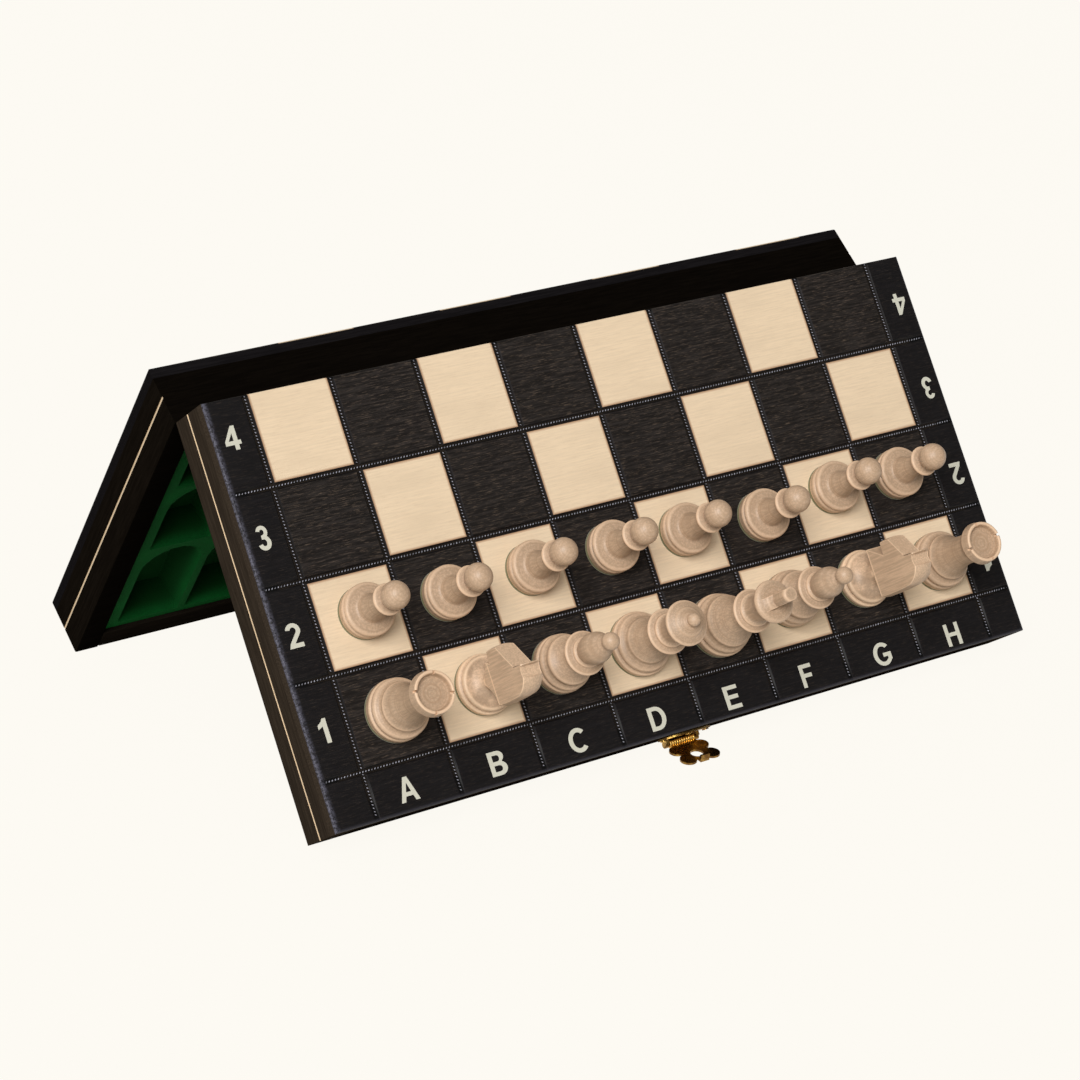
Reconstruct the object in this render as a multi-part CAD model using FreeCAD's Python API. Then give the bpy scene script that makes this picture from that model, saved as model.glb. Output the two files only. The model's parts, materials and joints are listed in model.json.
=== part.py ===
import FreeCAD, Part
import math
import os
from FreeCAD import Vector

# Folding magnetic chess board, standing open like a tent with one side's men on its front half.
# Millimetres. X runs along the ridge, the front half leans towards -Y, +Z is up, and the board
# stands on Z = 0 with the origin in the middle of its footprint.
# Each half is drawn in its own flat frame: x across, u from the fold axis to the outer edge,
# n from the rim to the playing surface. The fold axis is u = 0, n = 0.

# Board
square = 30.0
files = 8
ranks_per_half = 4
side_border = 14.5
outer_border = 15.5
saw_loss = 0.5
half_thickness = 21.0
lean_deg = 35.4
fold_gap = 0.15

# Case
wall = 8.5
panel_thickness = 4.0
panel_edge_radius = 0.8
edge_tolerance = 0.01
steel_thickness = 0.6
fit_gap = 0.15
groove_width = 1.0
groove_depth = 0.6
groove_height = 9.6

# Insert with its pockets
insert_recess = 1.5
pocket_depth = 12.0
pocket_width = 21.5
pocket_web = 4.0
pocket_side_margin = 5.5
pocket_end_margin = 3.4
columns_each_side = 2
row_length_shares = (0.395, 0.314, 0.291)
middle_length_shares = (0.5, 0.5)
middle_pocket_width = 34.0
middle_pocket_place = 28.0

# Fold hinges
hinge_place = 72.0
hinge_length = 24.0
hinge_leaf_width = 7.0
hinge_leaf_thickness = 1.0
knuckle_radius = 2.0
knuckle_count = 3
knuckle_gap = 0.3
knuckle_clearance = 0.4
hinge_pin_radius = 0.8
pin_clearance = 0.05

# Nails
nail_radius = 0.6
nail_head_radius = 1.1
nail_head_thickness = 0.4
nail_length = 6.0
nail_clearance = 0.03
hinge_nail_place_share = 0.68
hinge_nail_spread_share = 0.33

# Clasp on the front half
clasp_axis_out = 1.9
clasp_axis_height = 5.5
clasp_plate_thickness = 0.6
clasp_plate_width = 20.6
clasp_plate_low = 3.9
clasp_plate_high = 13.6
clasp_window_gap = 0.3
clasp_nail_place_share = 0.40
clasp_nail_height_share = 0.76
barrel_radius = 1.5
barrel_length = 9.8
barrel_ribs = 11
barrel_rib_height = 0.25
ear_gap = 0.3
ear_length = 1.3
ear_radius = 1.15
clasp_pin_radius = 0.7

# Hasp
hasp_thickness = 0.7
hasp_drop = 0.75
hasp_dip_deg = 3.2
hasp_hole_place = 8.9
hasp_hole_radius = 2.1
hasp_shoulder_place = 4.6
hasp_shoulder_radius = 2.5
hasp_lobe_place = 10.6
hasp_lobe_radius = 2.8
hasp_half_width = 7.3
hasp_tab_width = 3.4
hasp_tab_end = 13.4
hasp_tab_rise = 2.4

# Catch on the back half
catch_plate_thickness = 0.5
catch_plate_width = 15.0
catch_plate_low = 1.1
catch_plate_high = 8.4
catch_stud_radius = 1.4
catch_stud_tip_radius = 0.5
catch_stud_out = 1.65
catch_nail_place_share = 0.33

# Men: overall height, widest base and the foot under it
felt_thickness = 0.6
felt_inset = 0.15
magnet_radius = 4.5
magnet_thickness = 3.0
magnet_clearance = 0.05
pawn_height = 27.7
pawn_base = 17.0
rook_height = 29.0
rook_base = 19.6
knight_height = 35.8
short_knight_height = 32.8
knight_base = 19.2
bishop_height = 37.0
bishop_base = 18.6
queen_height = 37.6
queen_base = 20.8
king_height = 45.2
king_base = 20.6
rook_slots = 4
rook_slot_width = 0.8
rook_slot_depth = 1.6
knight_slab = 6.8
king_finial_thickness = 4.2

# One overrun serves every cut
overrun = 1.0

# Sizes that follow from the ones above
half_turn = 180.0
quarter_turn = 90.0
full_turn = 360.0
board_width = files * square + 2 * side_border
half_depth = ranks_per_half * square + outer_border - saw_loss
half_width = board_width / 2
inner_half_width = half_width - wall
near = fold_gap
far = fold_gap + half_depth
rim = fold_gap
top = fold_gap + half_thickness
panel_under = top - panel_thickness
steel_under = panel_under - steel_thickness
insert_top = rim + insert_recess
lean = math.radians(lean_deg)
fold_height = far * math.cos(lean) - rim * math.sin(lean)

X_AXIS = Vector(1, 0, 0)
Y_AXIS = Vector(0, 1, 0)
Z_AXIS = Vector(0, 0, 1)
ORIGIN = Vector(0, 0, 0)

# Turned profiles. A pair is a straight step to (radius, height), four numbers are an arc through the first
# two to the last two, and a single number is a dome about the axis up to that height. Radii are shares of
# the base radius, heights are shares of the man's height.
pawn_profile_shares = (
    (0.95, 0.022), (0.985, 0.036), (0.985, 0.092), (0.98, 0.124, 0.92, 0.136), (0.89, 0.144),
    (1.0, 0.182, 0.93, 0.216), (0.62, 0.232), (0.55, 0.242),
    (0.415, 0.400, 0.35, 0.605), (0.53, 0.630), (0.59, 0.652, 0.53, 0.675), (0.24, 0.697),
    (1.0,))
rook_profile_shares = (
    (0.94, 0.021), (1.0, 0.038), (1.0, 0.100), (0.985, 0.118, 0.93, 0.127), (0.89, 0.133),
    (0.975, 0.176, 0.88, 0.216), (0.79, 0.232, 0.760, 0.261), (0.785, 0.283, 0.735, 0.302),
    (0.545, 0.483, 0.510, 0.707), (0.555, 0.810, 0.700, 0.872), (0.725, 0.886), (0.675, 1.0),
    (0.585, 1.0), (0.535, 0.924), (0.0, 0.924))
knight_profile_shares = (
    (0.94, 0.017), (1.0, 0.033), (1.0, 0.066), (0.985, 0.080, 0.93, 0.087), (0.88, 0.092),
    (0.925, 0.117, 0.85, 0.149), (0.46, 0.198, 0.34, 0.290), (0.34, 0.335), (0.92, 0.345),
    (0.935, 0.550, 0.915, 0.753), (1.0,))
short_knight_profile_shares = (
    (0.94, 0.019), (1.0, 0.036), (1.0, 0.073), (0.985, 0.088, 0.93, 0.095), (0.88, 0.100),
    (0.925, 0.128, 0.85, 0.163), (0.46, 0.192, 0.344, 0.232), (0.44, 0.305, 0.92, 0.384),
    (0.935, 0.580, 0.915, 0.732), (1.0,))
bishop_profile_shares = (
    (0.94, 0.016), (1.0, 0.030), (1.0, 0.083), (0.985, 0.098, 0.93, 0.105), (0.89, 0.110),
    (0.975, 0.141, 0.89, 0.173), (0.85, 0.186, 0.84, 0.212), (0.855, 0.236, 0.80, 0.254),
    (0.470, 0.335, 0.390, 0.425), (0.700, 0.466), (0.760, 0.482, 0.710, 0.500), (0.510, 0.513),
    (0.530, 0.527, 0.485, 0.540), (0.425, 0.548), (0.535, 0.645, 0.500, 0.735), (0.350, 0.805, 0.180, 0.862),
    (1.0,))
queen_profile_shares = (
    (0.94, 0.016), (1.0, 0.032), (1.0, 0.064), (0.985, 0.079, 0.93, 0.085), (0.88, 0.089),
    (0.925, 0.117, 0.84, 0.146), (0.755, 0.160, 0.715, 0.196),
    (0.460, 0.320, 0.395, 0.470), (0.655, 0.503), (0.705, 0.517, 0.660, 0.533), (0.500, 0.546),
    (0.525, 0.561, 0.475, 0.574), (0.425, 0.584), (0.480, 0.710, 0.690, 0.806), (0.700, 0.826),
    (0.680, 0.836), (0.470, 0.862), (0.455, 0.872), (0.215, 0.902), (0.150, 0.906), (1.0,))
king_profile_shares = (
    (0.94, 0.013), (1.0, 0.026), (1.0, 0.067), (0.985, 0.078, 0.93, 0.084), (0.89, 0.088),
    (0.945, 0.115, 0.87, 0.141), (0.83, 0.153, 0.815, 0.179), (0.82, 0.197, 0.77, 0.211),
    (0.470, 0.326, 0.395, 0.453), (0.640, 0.480), (0.690, 0.493, 0.645, 0.506), (0.505, 0.516),
    (0.530, 0.529, 0.480, 0.540), (0.430, 0.550), (0.476, 0.665, 0.640, 0.750), (0.672, 0.776, 0.600, 0.797),
    (0.440, 0.812), (0.370, 0.830), (0.250, 0.838), (0.233, 0.843), (0.252, 0.858),
    (0.258, 0.915, 0.252, 0.985), (0.215, 1.0), (0.0, 1.0))

# The knights' saw cuts: the height from which the sides are sawn flat, as a share of the man's height, and
# the jaw notch, the sloped forehead and the groove behind the ear, as shares of the base radius across and
# of the height upwards, facing the far side of the board. The short knight has a narrower jaw notch.
knight_saw_share = 0.300
short_knight_saw_share = 0.232
knight_cut_shares = (
    ((0.90, 0.307), (0.39, 0.584), (1.0, 0.558), (1.0, 0.307)),
    ((1.0, 0.672), (0.133, 0.857), (0.125, 1.02), (1.0, 1.02)),
    ((0.10, 1.02), (0.06, 0.960), (-0.12, 0.945), (-0.30, 0.955), (-0.42, 1.02)))
short_knight_cut_shares = (
    ((0.75, 0.238), (0.35, 0.533), (1.0, 0.354), (1.0, 0.238)),
    ((1.0, 0.588), (0.048, 0.840), (0.040, 1.02), (1.0, 1.02)),
    ((0.02, 1.02), (-0.02, 0.957), (-0.20, 0.942), (-0.38, 0.952), (-0.50, 1.02)))

# The king's finial: where it is sawn flat from, where the slot in its foot starts and ends, and the stem left
# in the slot, as shares of the king's height and of the finial's thickness
king_finial_start_share = 0.806
king_slot_shares = (0.840, 0.858)
king_finial_stem_share = 0.38


def frame(origin, x_axis, y_axis, z_axis):
    """Placement that carries the drawing axes onto the three given axes at the given origin."""
    return FreeCAD.Placement(FreeCAD.Matrix(
        x_axis.x, y_axis.x, z_axis.x, origin.x,
        x_axis.y, y_axis.y, z_axis.y, origin.y,
        x_axis.z, y_axis.z, z_axis.z, origin.z,
        0, 0, 0, 1))


FOLD_POINT = Vector(0, 0, fold_height)
OUTWARD = Vector(0, math.sin(lean), -math.cos(lean))
UPWARD = Vector(0, math.cos(lean), math.sin(lean))
BACK = frame(FOLD_POINT, X_AXIS, OUTWARD, UPWARD)
HALF_TURN = FreeCAD.Placement(ORIGIN, FreeCAD.Rotation(Z_AXIS, half_turn))
FRONT = HALF_TURN.multiply(BACK)

nodes = {}


def place(name, shape, placement):
    """Stores a piece under its node's name, carried from its drawing frame by the placement."""
    piece = shape.copy()
    piece.Placement = placement.multiply(piece.Placement)
    nodes[name] = piece


def box(low, high):
    """Block between two opposite corners given as (x, u, n)."""
    size = [b - a for a, b in zip(low, high)]
    return Part.makeBox(size[0], size[1], size[2], Vector(*low))


def rod(radius, length, start, direction):
    """Cylinder from a start point along a direction."""
    return Part.makeCylinder(radius, length, start, direction)


def nail(head_out):
    """Nail along -Z with its head's face at the origin, standing head_out above the seat."""
    shank = rod(nail_radius, nail_length, Vector(0, 0, head_out), -Z_AXIS)
    head = rod(nail_head_radius, nail_head_thickness, Vector(0, 0, head_out), -Z_AXIS)
    return head.fuse(shank).removeSplitter()


def nail_hole(length, start, direction):
    """Cutter for a nail's shank."""
    return rod(nail_radius + nail_clearance, length, start, direction)


# Case pieces, the same for both halves
def playing_panel():
    """Flat panel over the whole half, with its playing edges rounded over."""
    panel = box((-half_width, near, panel_under), (half_width, far, top))
    edges = [e for e in panel.Edges if abs(e.CenterOfMass.z - top) < edge_tolerance]
    return panel.makeFillet(panel_edge_radius, edges)


def end_rail(side):
    """Rail at one end of the half, with the bare line cut along its outer face."""
    outer = side * half_width
    inner = side * inner_half_width
    rail = box((min(outer, inner), near, rim), (max(outer, inner), far, panel_under))
    cut_in = outer - side * groove_depth
    cut_out = outer + side * overrun
    middle = rim + groove_height
    groove = box((min(cut_in, cut_out), near - overrun, middle - groove_width / 2),
                 (max(cut_in, cut_out), far + overrun, middle + groove_width / 2))
    return rail.cut(groove)


def hinge_nail_places(hinge_x):
    """Points where a leaf is nailed, on the rim."""
    spread = hinge_length * hinge_nail_spread_share
    u = hinge_leaf_width * hinge_nail_place_share
    return [Vector(hinge_x + side * spread, u, rim) for side in (-1, 1)]


def spine_rail():
    """Rail along the fold, let in for the leaves, notched for the knuckles and drilled for the nails."""
    rail = box((-inner_half_width, near, rim), (inner_half_width, near + wall, panel_under))
    for hinge_x in (-hinge_place, hinge_place):
        reach = hinge_length / 2 + fit_gap
        rail = rail.cut(box((hinge_x - reach, -overrun, -overrun),
                            (hinge_x + reach, hinge_leaf_width + fit_gap, rim + hinge_leaf_thickness)))
        reach = hinge_length / 2 + knuckle_clearance
        start = Vector(hinge_x - reach, 0, 0)
        rail = rail.cut(rod(knuckle_radius + knuckle_clearance, 2 * reach, start, X_AXIS))
        for point in hinge_nail_places(hinge_x):
            rail = rail.cut(nail_hole(nail_length + fit_gap, point, Z_AXIS))
    return rail


def outer_rail(nail_points):
    """Rail along the outer edge, drilled for the clasp or catch nails."""
    rail = box((-inner_half_width, far - wall, rim), (inner_half_width, far, panel_under))
    for point in nail_points:
        rail = rail.cut(nail_hole(nail_length + fit_gap, point, -Y_AXIS))
    return rail


def steel_sheet():
    """Thin sheet under the panel that the men's magnets pull on."""
    reach = inner_half_width - fit_gap
    return box((-reach, near + wall + fit_gap, steel_under), (reach, far - wall - fit_gap, panel_under))


def pocket(x_middle, width, u_base, length):
    """Cutter for one pocket: square at its base, round at the end towards the fold."""
    radius = width / 2
    spring = u_base - length + radius
    left = Vector(x_middle - radius, u_base, insert_top)
    right = Vector(x_middle + radius, u_base, insert_top)
    left_spring = Vector(x_middle - radius, spring, insert_top)
    right_spring = Vector(x_middle + radius, spring, insert_top)
    crown = Vector(x_middle, spring - radius, insert_top)
    outline = Part.Wire([
        Part.makeLine(left_spring, left), Part.makeLine(left, right), Part.makeLine(right, right_spring),
        Part.Arc(right_spring, crown, left_spring).toShape()])
    floor = Part.Face(outline).extrude(Vector(0, 0, pocket_depth))
    mouth = Part.Face(outline).extrude(Vector(0, 0, -overrun))
    return floor.fuse(mouth).removeSplitter()


def pocket_places():
    """Every pocket as (middle x, width, base u, length), in columns from the ends to the middle."""
    base = far - wall - pocket_end_margin
    room = half_depth - 2 * wall - 2 * pocket_end_margin
    pitch = pocket_width + pocket_web
    first = inner_half_width - pocket_side_margin - pocket_width / 2
    columns = []
    for step in range(columns_each_side):
        columns += [(-first + step * pitch, pocket_width, row_length_shares),
                    (first - step * pitch, pocket_width, row_length_shares)]
    columns += [(side * middle_pocket_place, middle_pocket_width, middle_length_shares) for side in (-1, 1)]
    places = []
    for x_middle, width, shares in columns:
        u = base
        lengths_room = room - pocket_web * (len(shares) - 1)
        for share in shares:
            places.append((x_middle, width, u, share * lengths_room))
            u -= share * lengths_room + pocket_web
    return places


def insert_tray():
    """Moulded tray that fills the half below the steel, with a pocket for each man."""
    reach = inner_half_width - fit_gap
    tray = box((-reach, near + wall + fit_gap, insert_top), (reach, far - wall - fit_gap, steel_under))
    return tray.cut([pocket(*place_of) for place_of in pocket_places()])


# Fold hinges
def knuckle_spans():
    """Start and end of each knuckle along a hinge, measured from its middle."""
    length = (hinge_length - knuckle_gap * (knuckle_count - 1)) / knuckle_count
    starts = [-hinge_length / 2 + k * (length + knuckle_gap) for k in range(knuckle_count)]
    return [(s, s + length) for s in starts]


def hinge_leaf(hinge_x, own_first):
    """Leaf let into the rim, with every second knuckle starting at own_first, bored for the pin."""
    half = hinge_length / 2
    leaf = box((hinge_x - half, 0, rim), (hinge_x + half, hinge_leaf_width, rim + hinge_leaf_thickness))
    for index, (start, end) in enumerate(knuckle_spans()):
        if index % 2 == own_first:
            barrel = rod(knuckle_radius, end - start, Vector(hinge_x + start, 0, 0), X_AXIS)
            leaf = leaf.fuse(barrel)
        else:
            room = rod(knuckle_radius + knuckle_clearance, end - start + 2 * knuckle_gap,
                       Vector(hinge_x + start - knuckle_gap, 0, 0), X_AXIS)
            leaf = leaf.cut(room)
    bore = rod(hinge_pin_radius + pin_clearance, hinge_length + 2 * overrun,
               Vector(hinge_x - half - overrun, 0, 0), X_AXIS)
    leaf = leaf.cut(bore)
    for point in hinge_nail_places(hinge_x):
        leaf = leaf.cut(nail_hole(hinge_leaf_thickness + overrun, point, Z_AXIS))
        leaf = leaf.cut(rod(nail_head_radius + nail_clearance, nail_head_thickness, point, Z_AXIS))
    return leaf.removeSplitter()


def hinge_nails():
    """The nails of both leaves of one half, flush in the leaves."""
    driven = []
    for hinge_x in (-hinge_place, hinge_place):
        for point in hinge_nail_places(hinge_x):
            shape = nail(0)
            shape.Placement = FreeCAD.Placement(point, FreeCAD.Rotation(X_AXIS, half_turn))
            driven.append(shape)
    return Part.makeCompound(driven)


def hinge_pins():
    """Both fold pins."""
    starts = [Vector(place_x - hinge_length / 2, 0, 0) for place_x in (-hinge_place, hinge_place)]
    return Part.makeCompound([rod(hinge_pin_radius, hinge_length, start, X_AXIS) for start in starts])


# Clasp, drawn on the outer face: x across, u away from the face, n upwards
def lens_plate(width, low, high, thickness):
    """Thin plate on the outer face, pointed at both ends and rounded above and below."""
    level = (low + high) / 2
    left = Vector(-width / 2, far, level)
    right = Vector(width / 2, far, level)
    upper = Part.Arc(left, Vector(0, far, high), right).toShape()
    lower = Part.Arc(right, Vector(0, far, low), left).toShape()
    return Part.Face(Part.Wire([upper, lower])).extrude(Vector(0, thickness, 0))


def clasp_nail_points():
    """Two nails in the wings and one above the barrel."""
    level = (clasp_plate_low + clasp_plate_high) / 2
    upper = clasp_plate_low + clasp_nail_height_share * (clasp_plate_high - clasp_plate_low)
    reach = clasp_plate_width * clasp_nail_place_share
    return [Vector(-reach, far, level), Vector(reach, far, level), Vector(0, far, upper)]


def clasp_axis_point(x):
    """Point on the hasp's axis."""
    return Vector(x, far + clasp_axis_out, clasp_axis_height)


def clasp_plate():
    """Winged plate with a window behind the barrel and two ears that hold the hasp's pin."""
    plate = lens_plate(clasp_plate_width, clasp_plate_low, clasp_plate_high, clasp_plate_thickness)
    ear_inner = barrel_length / 2 + ear_gap
    ear_outer = ear_inner + ear_length
    window_top = clasp_axis_height + barrel_radius + clasp_window_gap
    plate = plate.cut(box((-ear_inner, far - overrun, clasp_plate_low - overrun),
                          (ear_inner, far + clasp_plate_thickness + overrun, window_top)))
    for side in (-1, 1):
        start = min(side * ear_inner, side * ear_outer)
        ear = rod(ear_radius, ear_length, clasp_axis_point(start), X_AXIS)
        root = box((start, far, clasp_axis_height - ear_radius / 2),
                   (start + ear_length, far + clasp_axis_out, window_top))
        plate = plate.fuse(ear.fuse(root))
    bore = rod(clasp_pin_radius + nail_clearance, 2 * ear_outer + 2 * overrun,
               clasp_axis_point(-ear_outer - overrun), X_AXIS)
    plate = plate.cut(bore)
    for point in clasp_nail_points():
        plate = plate.cut(nail_hole(clasp_plate_thickness + 2 * overrun, point - Y_AXIS * overrun, Y_AXIS))
    return plate.removeSplitter()


def face_nails(points, plate_thickness):
    """Nails driven through a plate on the outer face, heads standing on the plate."""
    driven = []
    for point in points:
        shape = nail(plate_thickness + nail_head_thickness)
        shape.Placement = FreeCAD.Placement(point, FreeCAD.Rotation(X_AXIS, -quarter_turn))
        driven.append(shape)
    return Part.makeCompound(driven)


def clasp_pin():
    """Pin through the ears and the barrel."""
    reach = barrel_length / 2 + ear_gap + ear_length
    return rod(clasp_pin_radius, 2 * reach, clasp_axis_point(-reach), X_AXIS)


def ribbed_barrel():
    """Barrel along X with rounded ribs side by side, about the hasp's axis."""
    rib = barrel_length / barrel_ribs
    root = barrel_radius - barrel_rib_height
    steps = [Part.makeLine(Vector(-barrel_length / 2, 0, 0), Vector(-barrel_length / 2, root, 0))]
    for k in range(barrel_ribs):
        start = -barrel_length / 2 + k * rib
        steps.append(Part.Arc(Vector(start, root, 0), Vector(start + rib / 2, barrel_radius, 0),
                              Vector(start + rib, root, 0)).toShape())
    steps.append(Part.makeLine(Vector(barrel_length / 2, root, 0), Vector(barrel_length / 2, 0, 0)))
    steps.append(Part.makeLine(Vector(barrel_length / 2, 0, 0), Vector(-barrel_length / 2, 0, 0)))
    return Part.Face(Part.Wire(steps)).revolve(ORIGIN, X_AXIS, full_turn)


def hasp():
    """Trefoil hasp drawn flat: x across, y away from its barrel, z outwards when closed."""
    under = -hasp_drop
    plate = box((-barrel_length / 2, 0, under),
                (barrel_length / 2, hasp_lobe_place, under + hasp_thickness))
    for side in (-1, 1):
        lobes = ((hasp_shoulder_place, hasp_shoulder_radius), (hasp_lobe_place, hasp_lobe_radius))
        for along, radius in lobes:
            centre = Vector(side * (hasp_half_width - radius), along, under)
            plate = plate.fuse(rod(radius, hasp_thickness, centre, Z_AXIS))
    tab_half = hasp_tab_width / 2
    plate = plate.fuse(box((-tab_half, hasp_lobe_place - hasp_lobe_radius, under),
                           (tab_half, hasp_tab_end, under + hasp_thickness)))
    plate = plate.fuse(box((-tab_half, hasp_tab_end - hasp_thickness, under),
                           (tab_half, hasp_tab_end, under + hasp_tab_rise)))
    plate = plate.cut(rod(hasp_hole_radius, hasp_thickness + 2 * overrun,
                          Vector(0, hasp_hole_place, under - overrun), Z_AXIS))
    whole = plate.fuse(ribbed_barrel())
    bore = rod(clasp_pin_radius + pin_clearance, barrel_length + 2 * overrun,
               Vector(-barrel_length / 2 - overrun, 0, 0), X_AXIS)
    return whole.cut(bore).removeSplitter()


def hasp_placement():
    """The hasp hangs out level from its axis, dipping a little to the table."""
    turn = quarter_turn - lean_deg - hasp_dip_deg
    return FreeCAD.Placement(clasp_axis_point(0), FreeCAD.Rotation(X_AXIS, turn))


def catch_stud_height():
    """Height of the stud above the fold plane, where the closed hasp's hole comes."""
    return hasp_hole_place - clasp_axis_height


def catch_nail_points():
    """Two nails in the catch plate's wings."""
    level = (catch_plate_low + catch_plate_high) / 2
    reach = catch_plate_width * catch_nail_place_share
    return [Vector(side * reach, far, level) for side in (-1, 1)]


def catch_plate():
    """Small winged plate with the coned stud that the hasp's hole closes over."""
    plate = lens_plate(catch_plate_width, catch_plate_low, catch_plate_high, catch_plate_thickness)
    stud = Part.makeCone(catch_stud_radius, catch_stud_tip_radius, catch_stud_out,
                         Vector(0, far, catch_stud_height()), Y_AXIS)
    plate = plate.fuse(stud)
    for point in catch_nail_points():
        plate = plate.cut(nail_hole(catch_plate_thickness + 2 * overrun, point - Y_AXIS * overrun, Y_AXIS))
    return plate.removeSplitter()


# Men, drawn upright on the playing surface at the origin
def dome_middle(start, crown):
    """Point halfway along the arc from a start point to a crown on the axis, centred on the axis."""
    centre = (crown.z ** 2 - start.z ** 2 - start.x ** 2) / (2 * (crown.z - start.z))
    radius = crown.z - centre
    angle = math.atan2(start.x, start.z - centre) / 2
    return Vector(radius * math.sin(angle), 0, centre + radius * math.cos(angle))


def turned(base_radius, height, shares):
    """Solid of revolution through the profile, from the felt up to the top of the man."""
    start = Vector(0, 0, felt_thickness)
    last = start
    edges = []
    for step in shares:
        end = Vector(step[-2] * base_radius if len(step) > 1 else 0, 0, step[-1] * height)
        if not edges:
            end = Vector(step[0] * base_radius, 0, felt_thickness)
        if len(step) == 4:
            edges.append(Part.Arc(last, Vector(step[0] * base_radius, 0, step[1] * height), end).toShape())
        elif len(step) == 1:
            edges.append(Part.Arc(last, dome_middle(last, end), end).toShape())
        else:
            edges.append(Part.makeLine(last, end))
        last = end
    edges.append(Part.makeLine(last, start))
    return Part.Face(Part.Wire(edges)).revolve(ORIGIN, Z_AXIS, full_turn)


def side_cut(points, base_radius, height, reach):
    """Prism along X through shares of the base radius across and of the height upwards."""
    corners = [Vector(-reach, across * base_radius, up * height) for across, up in points]
    outline = Part.makePolygon(corners + corners[:1])
    return Part.Face(outline).extrude(Vector(2 * reach, 0, 0))


def pawn():
    """Ball head on a collar and a hollow-sided cone."""
    return turned(pawn_base / 2, pawn_height, pawn_profile_shares)


def rook():
    """Tower with a hollowed crown, cut through by narrow slots."""
    body = turned(rook_base / 2, rook_height, rook_profile_shares)
    for k in range(rook_slots):
        slot = box((0, -rook_slot_width / 2, rook_height - rook_slot_depth),
                   (rook_base, rook_slot_width / 2, rook_height + overrun))
        slot.rotate(ORIGIN, Z_AXIS, k * full_turn / rook_slots)
        body = body.cut(slot)
    return body


def sawn_knight(height, profile, saw_share, cuts):
    """Turned blank sawn flat on both sides, with a jaw notch, a sloped forehead and an ear."""
    radius = knight_base / 2
    body = turned(radius, height, profile)
    for side in (-1, 1):
        inner = side * knight_slab / 2
        outer = side * radius
        body = body.cut(box((min(inner, outer), -radius, saw_share * height),
                            (max(inner, outer), radius, height + overrun)))
    for shares in cuts:
        body = body.cut(side_cut(shares, radius, height, radius))
    return body


def knight():
    """Knight with a thin neck and a wide jaw notch."""
    return sawn_knight(knight_height, knight_profile_shares, knight_saw_share, knight_cut_shares)


def short_knight():
    """Lower knight whose neck flares into the head, with a narrow jaw notch."""
    return sawn_knight(short_knight_height, short_knight_profile_shares, short_knight_saw_share,
                       short_knight_cut_shares)


def bishop():
    """Drop-shaped head with a ball on top, over a wide collar."""
    return turned(bishop_base / 2, bishop_height, bishop_profile_shares)


def queen():
    """Flared crown with a stepped lid and a knob."""
    return turned(queen_base / 2, queen_height, queen_profile_shares)


def king():
    """Flared crown with a rounded lid and a finial sawn flat, with a slot at the finial's foot."""
    radius = king_base / 2
    body = turned(radius, king_height, king_profile_shares)
    start = king_finial_start_share * king_height
    slot_start, slot_end = [share * king_height for share in king_slot_shares]
    for side in (-1, 1):
        face = side * king_finial_thickness / 2
        stem = side * king_finial_stem_share * king_finial_thickness
        edge = side * radius
        body = body.cut(box((-radius, min(face, edge), start),
                            (radius, max(face, edge), king_height + overrun)))
        body = body.cut(box((min(stem, edge), -radius, slot_start),
                            (max(stem, edge), radius, slot_end)))
    return body


MEN = {
    "pawn": (pawn, pawn_base),
    "rook": (rook, rook_base),
    "knight": (knight, knight_base),
    "short_knight": (short_knight, knight_base),
    "bishop": (bishop, bishop_base),
    "queen": (queen, queen_base),
    "king": (king, king_base)}

# Who stands where: kind, file from the left, rank, drift from the middle of the square as a share of
# the square (across, upwards) and the turn about the man's own axis in degrees.
standing_shares = (
    ("rook", 0, 1, 0.034, -0.006, -15), ("short_knight", 1, 1, 0.093, 0.009, 0),
    ("bishop", 2, 1, 0.022, 0.0, 0), ("queen", 3, 1, 0.024, -0.017, 0),
    ("king", 4, 1, 0.045, -0.054, 8), ("bishop", 5, 1, 0.024, 0.015, 0),
    ("knight", 6, 1, 0.052, 0.017, 0), ("rook", 7, 1, 0.090, -0.017, 10),
    ("pawn", 0, 2, 0.039, 0.036, 0), ("pawn", 1, 2, 0.002, 0.006, 0), ("pawn", 2, 2, 0.046, 0.041, 0),
    ("pawn", 3, 2, 0.051, 0.041, 0), ("pawn", 4, 2, -0.004, 0.028, 0), ("pawn", 5, 2, 0.018, -0.031, 0),
    ("pawn", 6, 2, 0.033, 0.071, 0), ("pawn", 7, 2, -0.070, 0.048, 0))
file_letters = "abcdefgh"


def foot(base_diameter):
    """Felt disc under a man and the magnet sunk into his base."""
    felt = rod(base_diameter / 2 - felt_inset, felt_thickness, ORIGIN, Z_AXIS)
    magnet = rod(magnet_radius, magnet_thickness, Vector(0, 0, felt_thickness), Z_AXIS)
    return Part.makeCompound([felt, magnet])


def magnet_recess():
    """Cutter for the hole in a man's base."""
    return rod(magnet_radius + magnet_clearance, magnet_thickness, Vector(0, 0, felt_thickness), Z_AXIS)


def man_placement(file_index, rank, drift_across, drift_up, turn):
    """Place on the front playing surface, upright on the middle of a square plus its drift."""
    across = (file_index - (files - 1) / 2 + drift_across) * square
    u = far - outer_border - (rank - 1 / 2 + drift_up) * square
    up_board = HALF_TURN.Rotation.multVec(-OUTWARD)
    normal = HALF_TURN.Rotation.multVec(UPWARD)
    origin = FOLD_POINT - up_board * u + normal * top + X_AXIS * across
    spin = FreeCAD.Placement(ORIGIN, FreeCAD.Rotation(Z_AXIS, turn))
    return frame(origin, X_AXIS, up_board, normal).multiply(spin)


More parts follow.
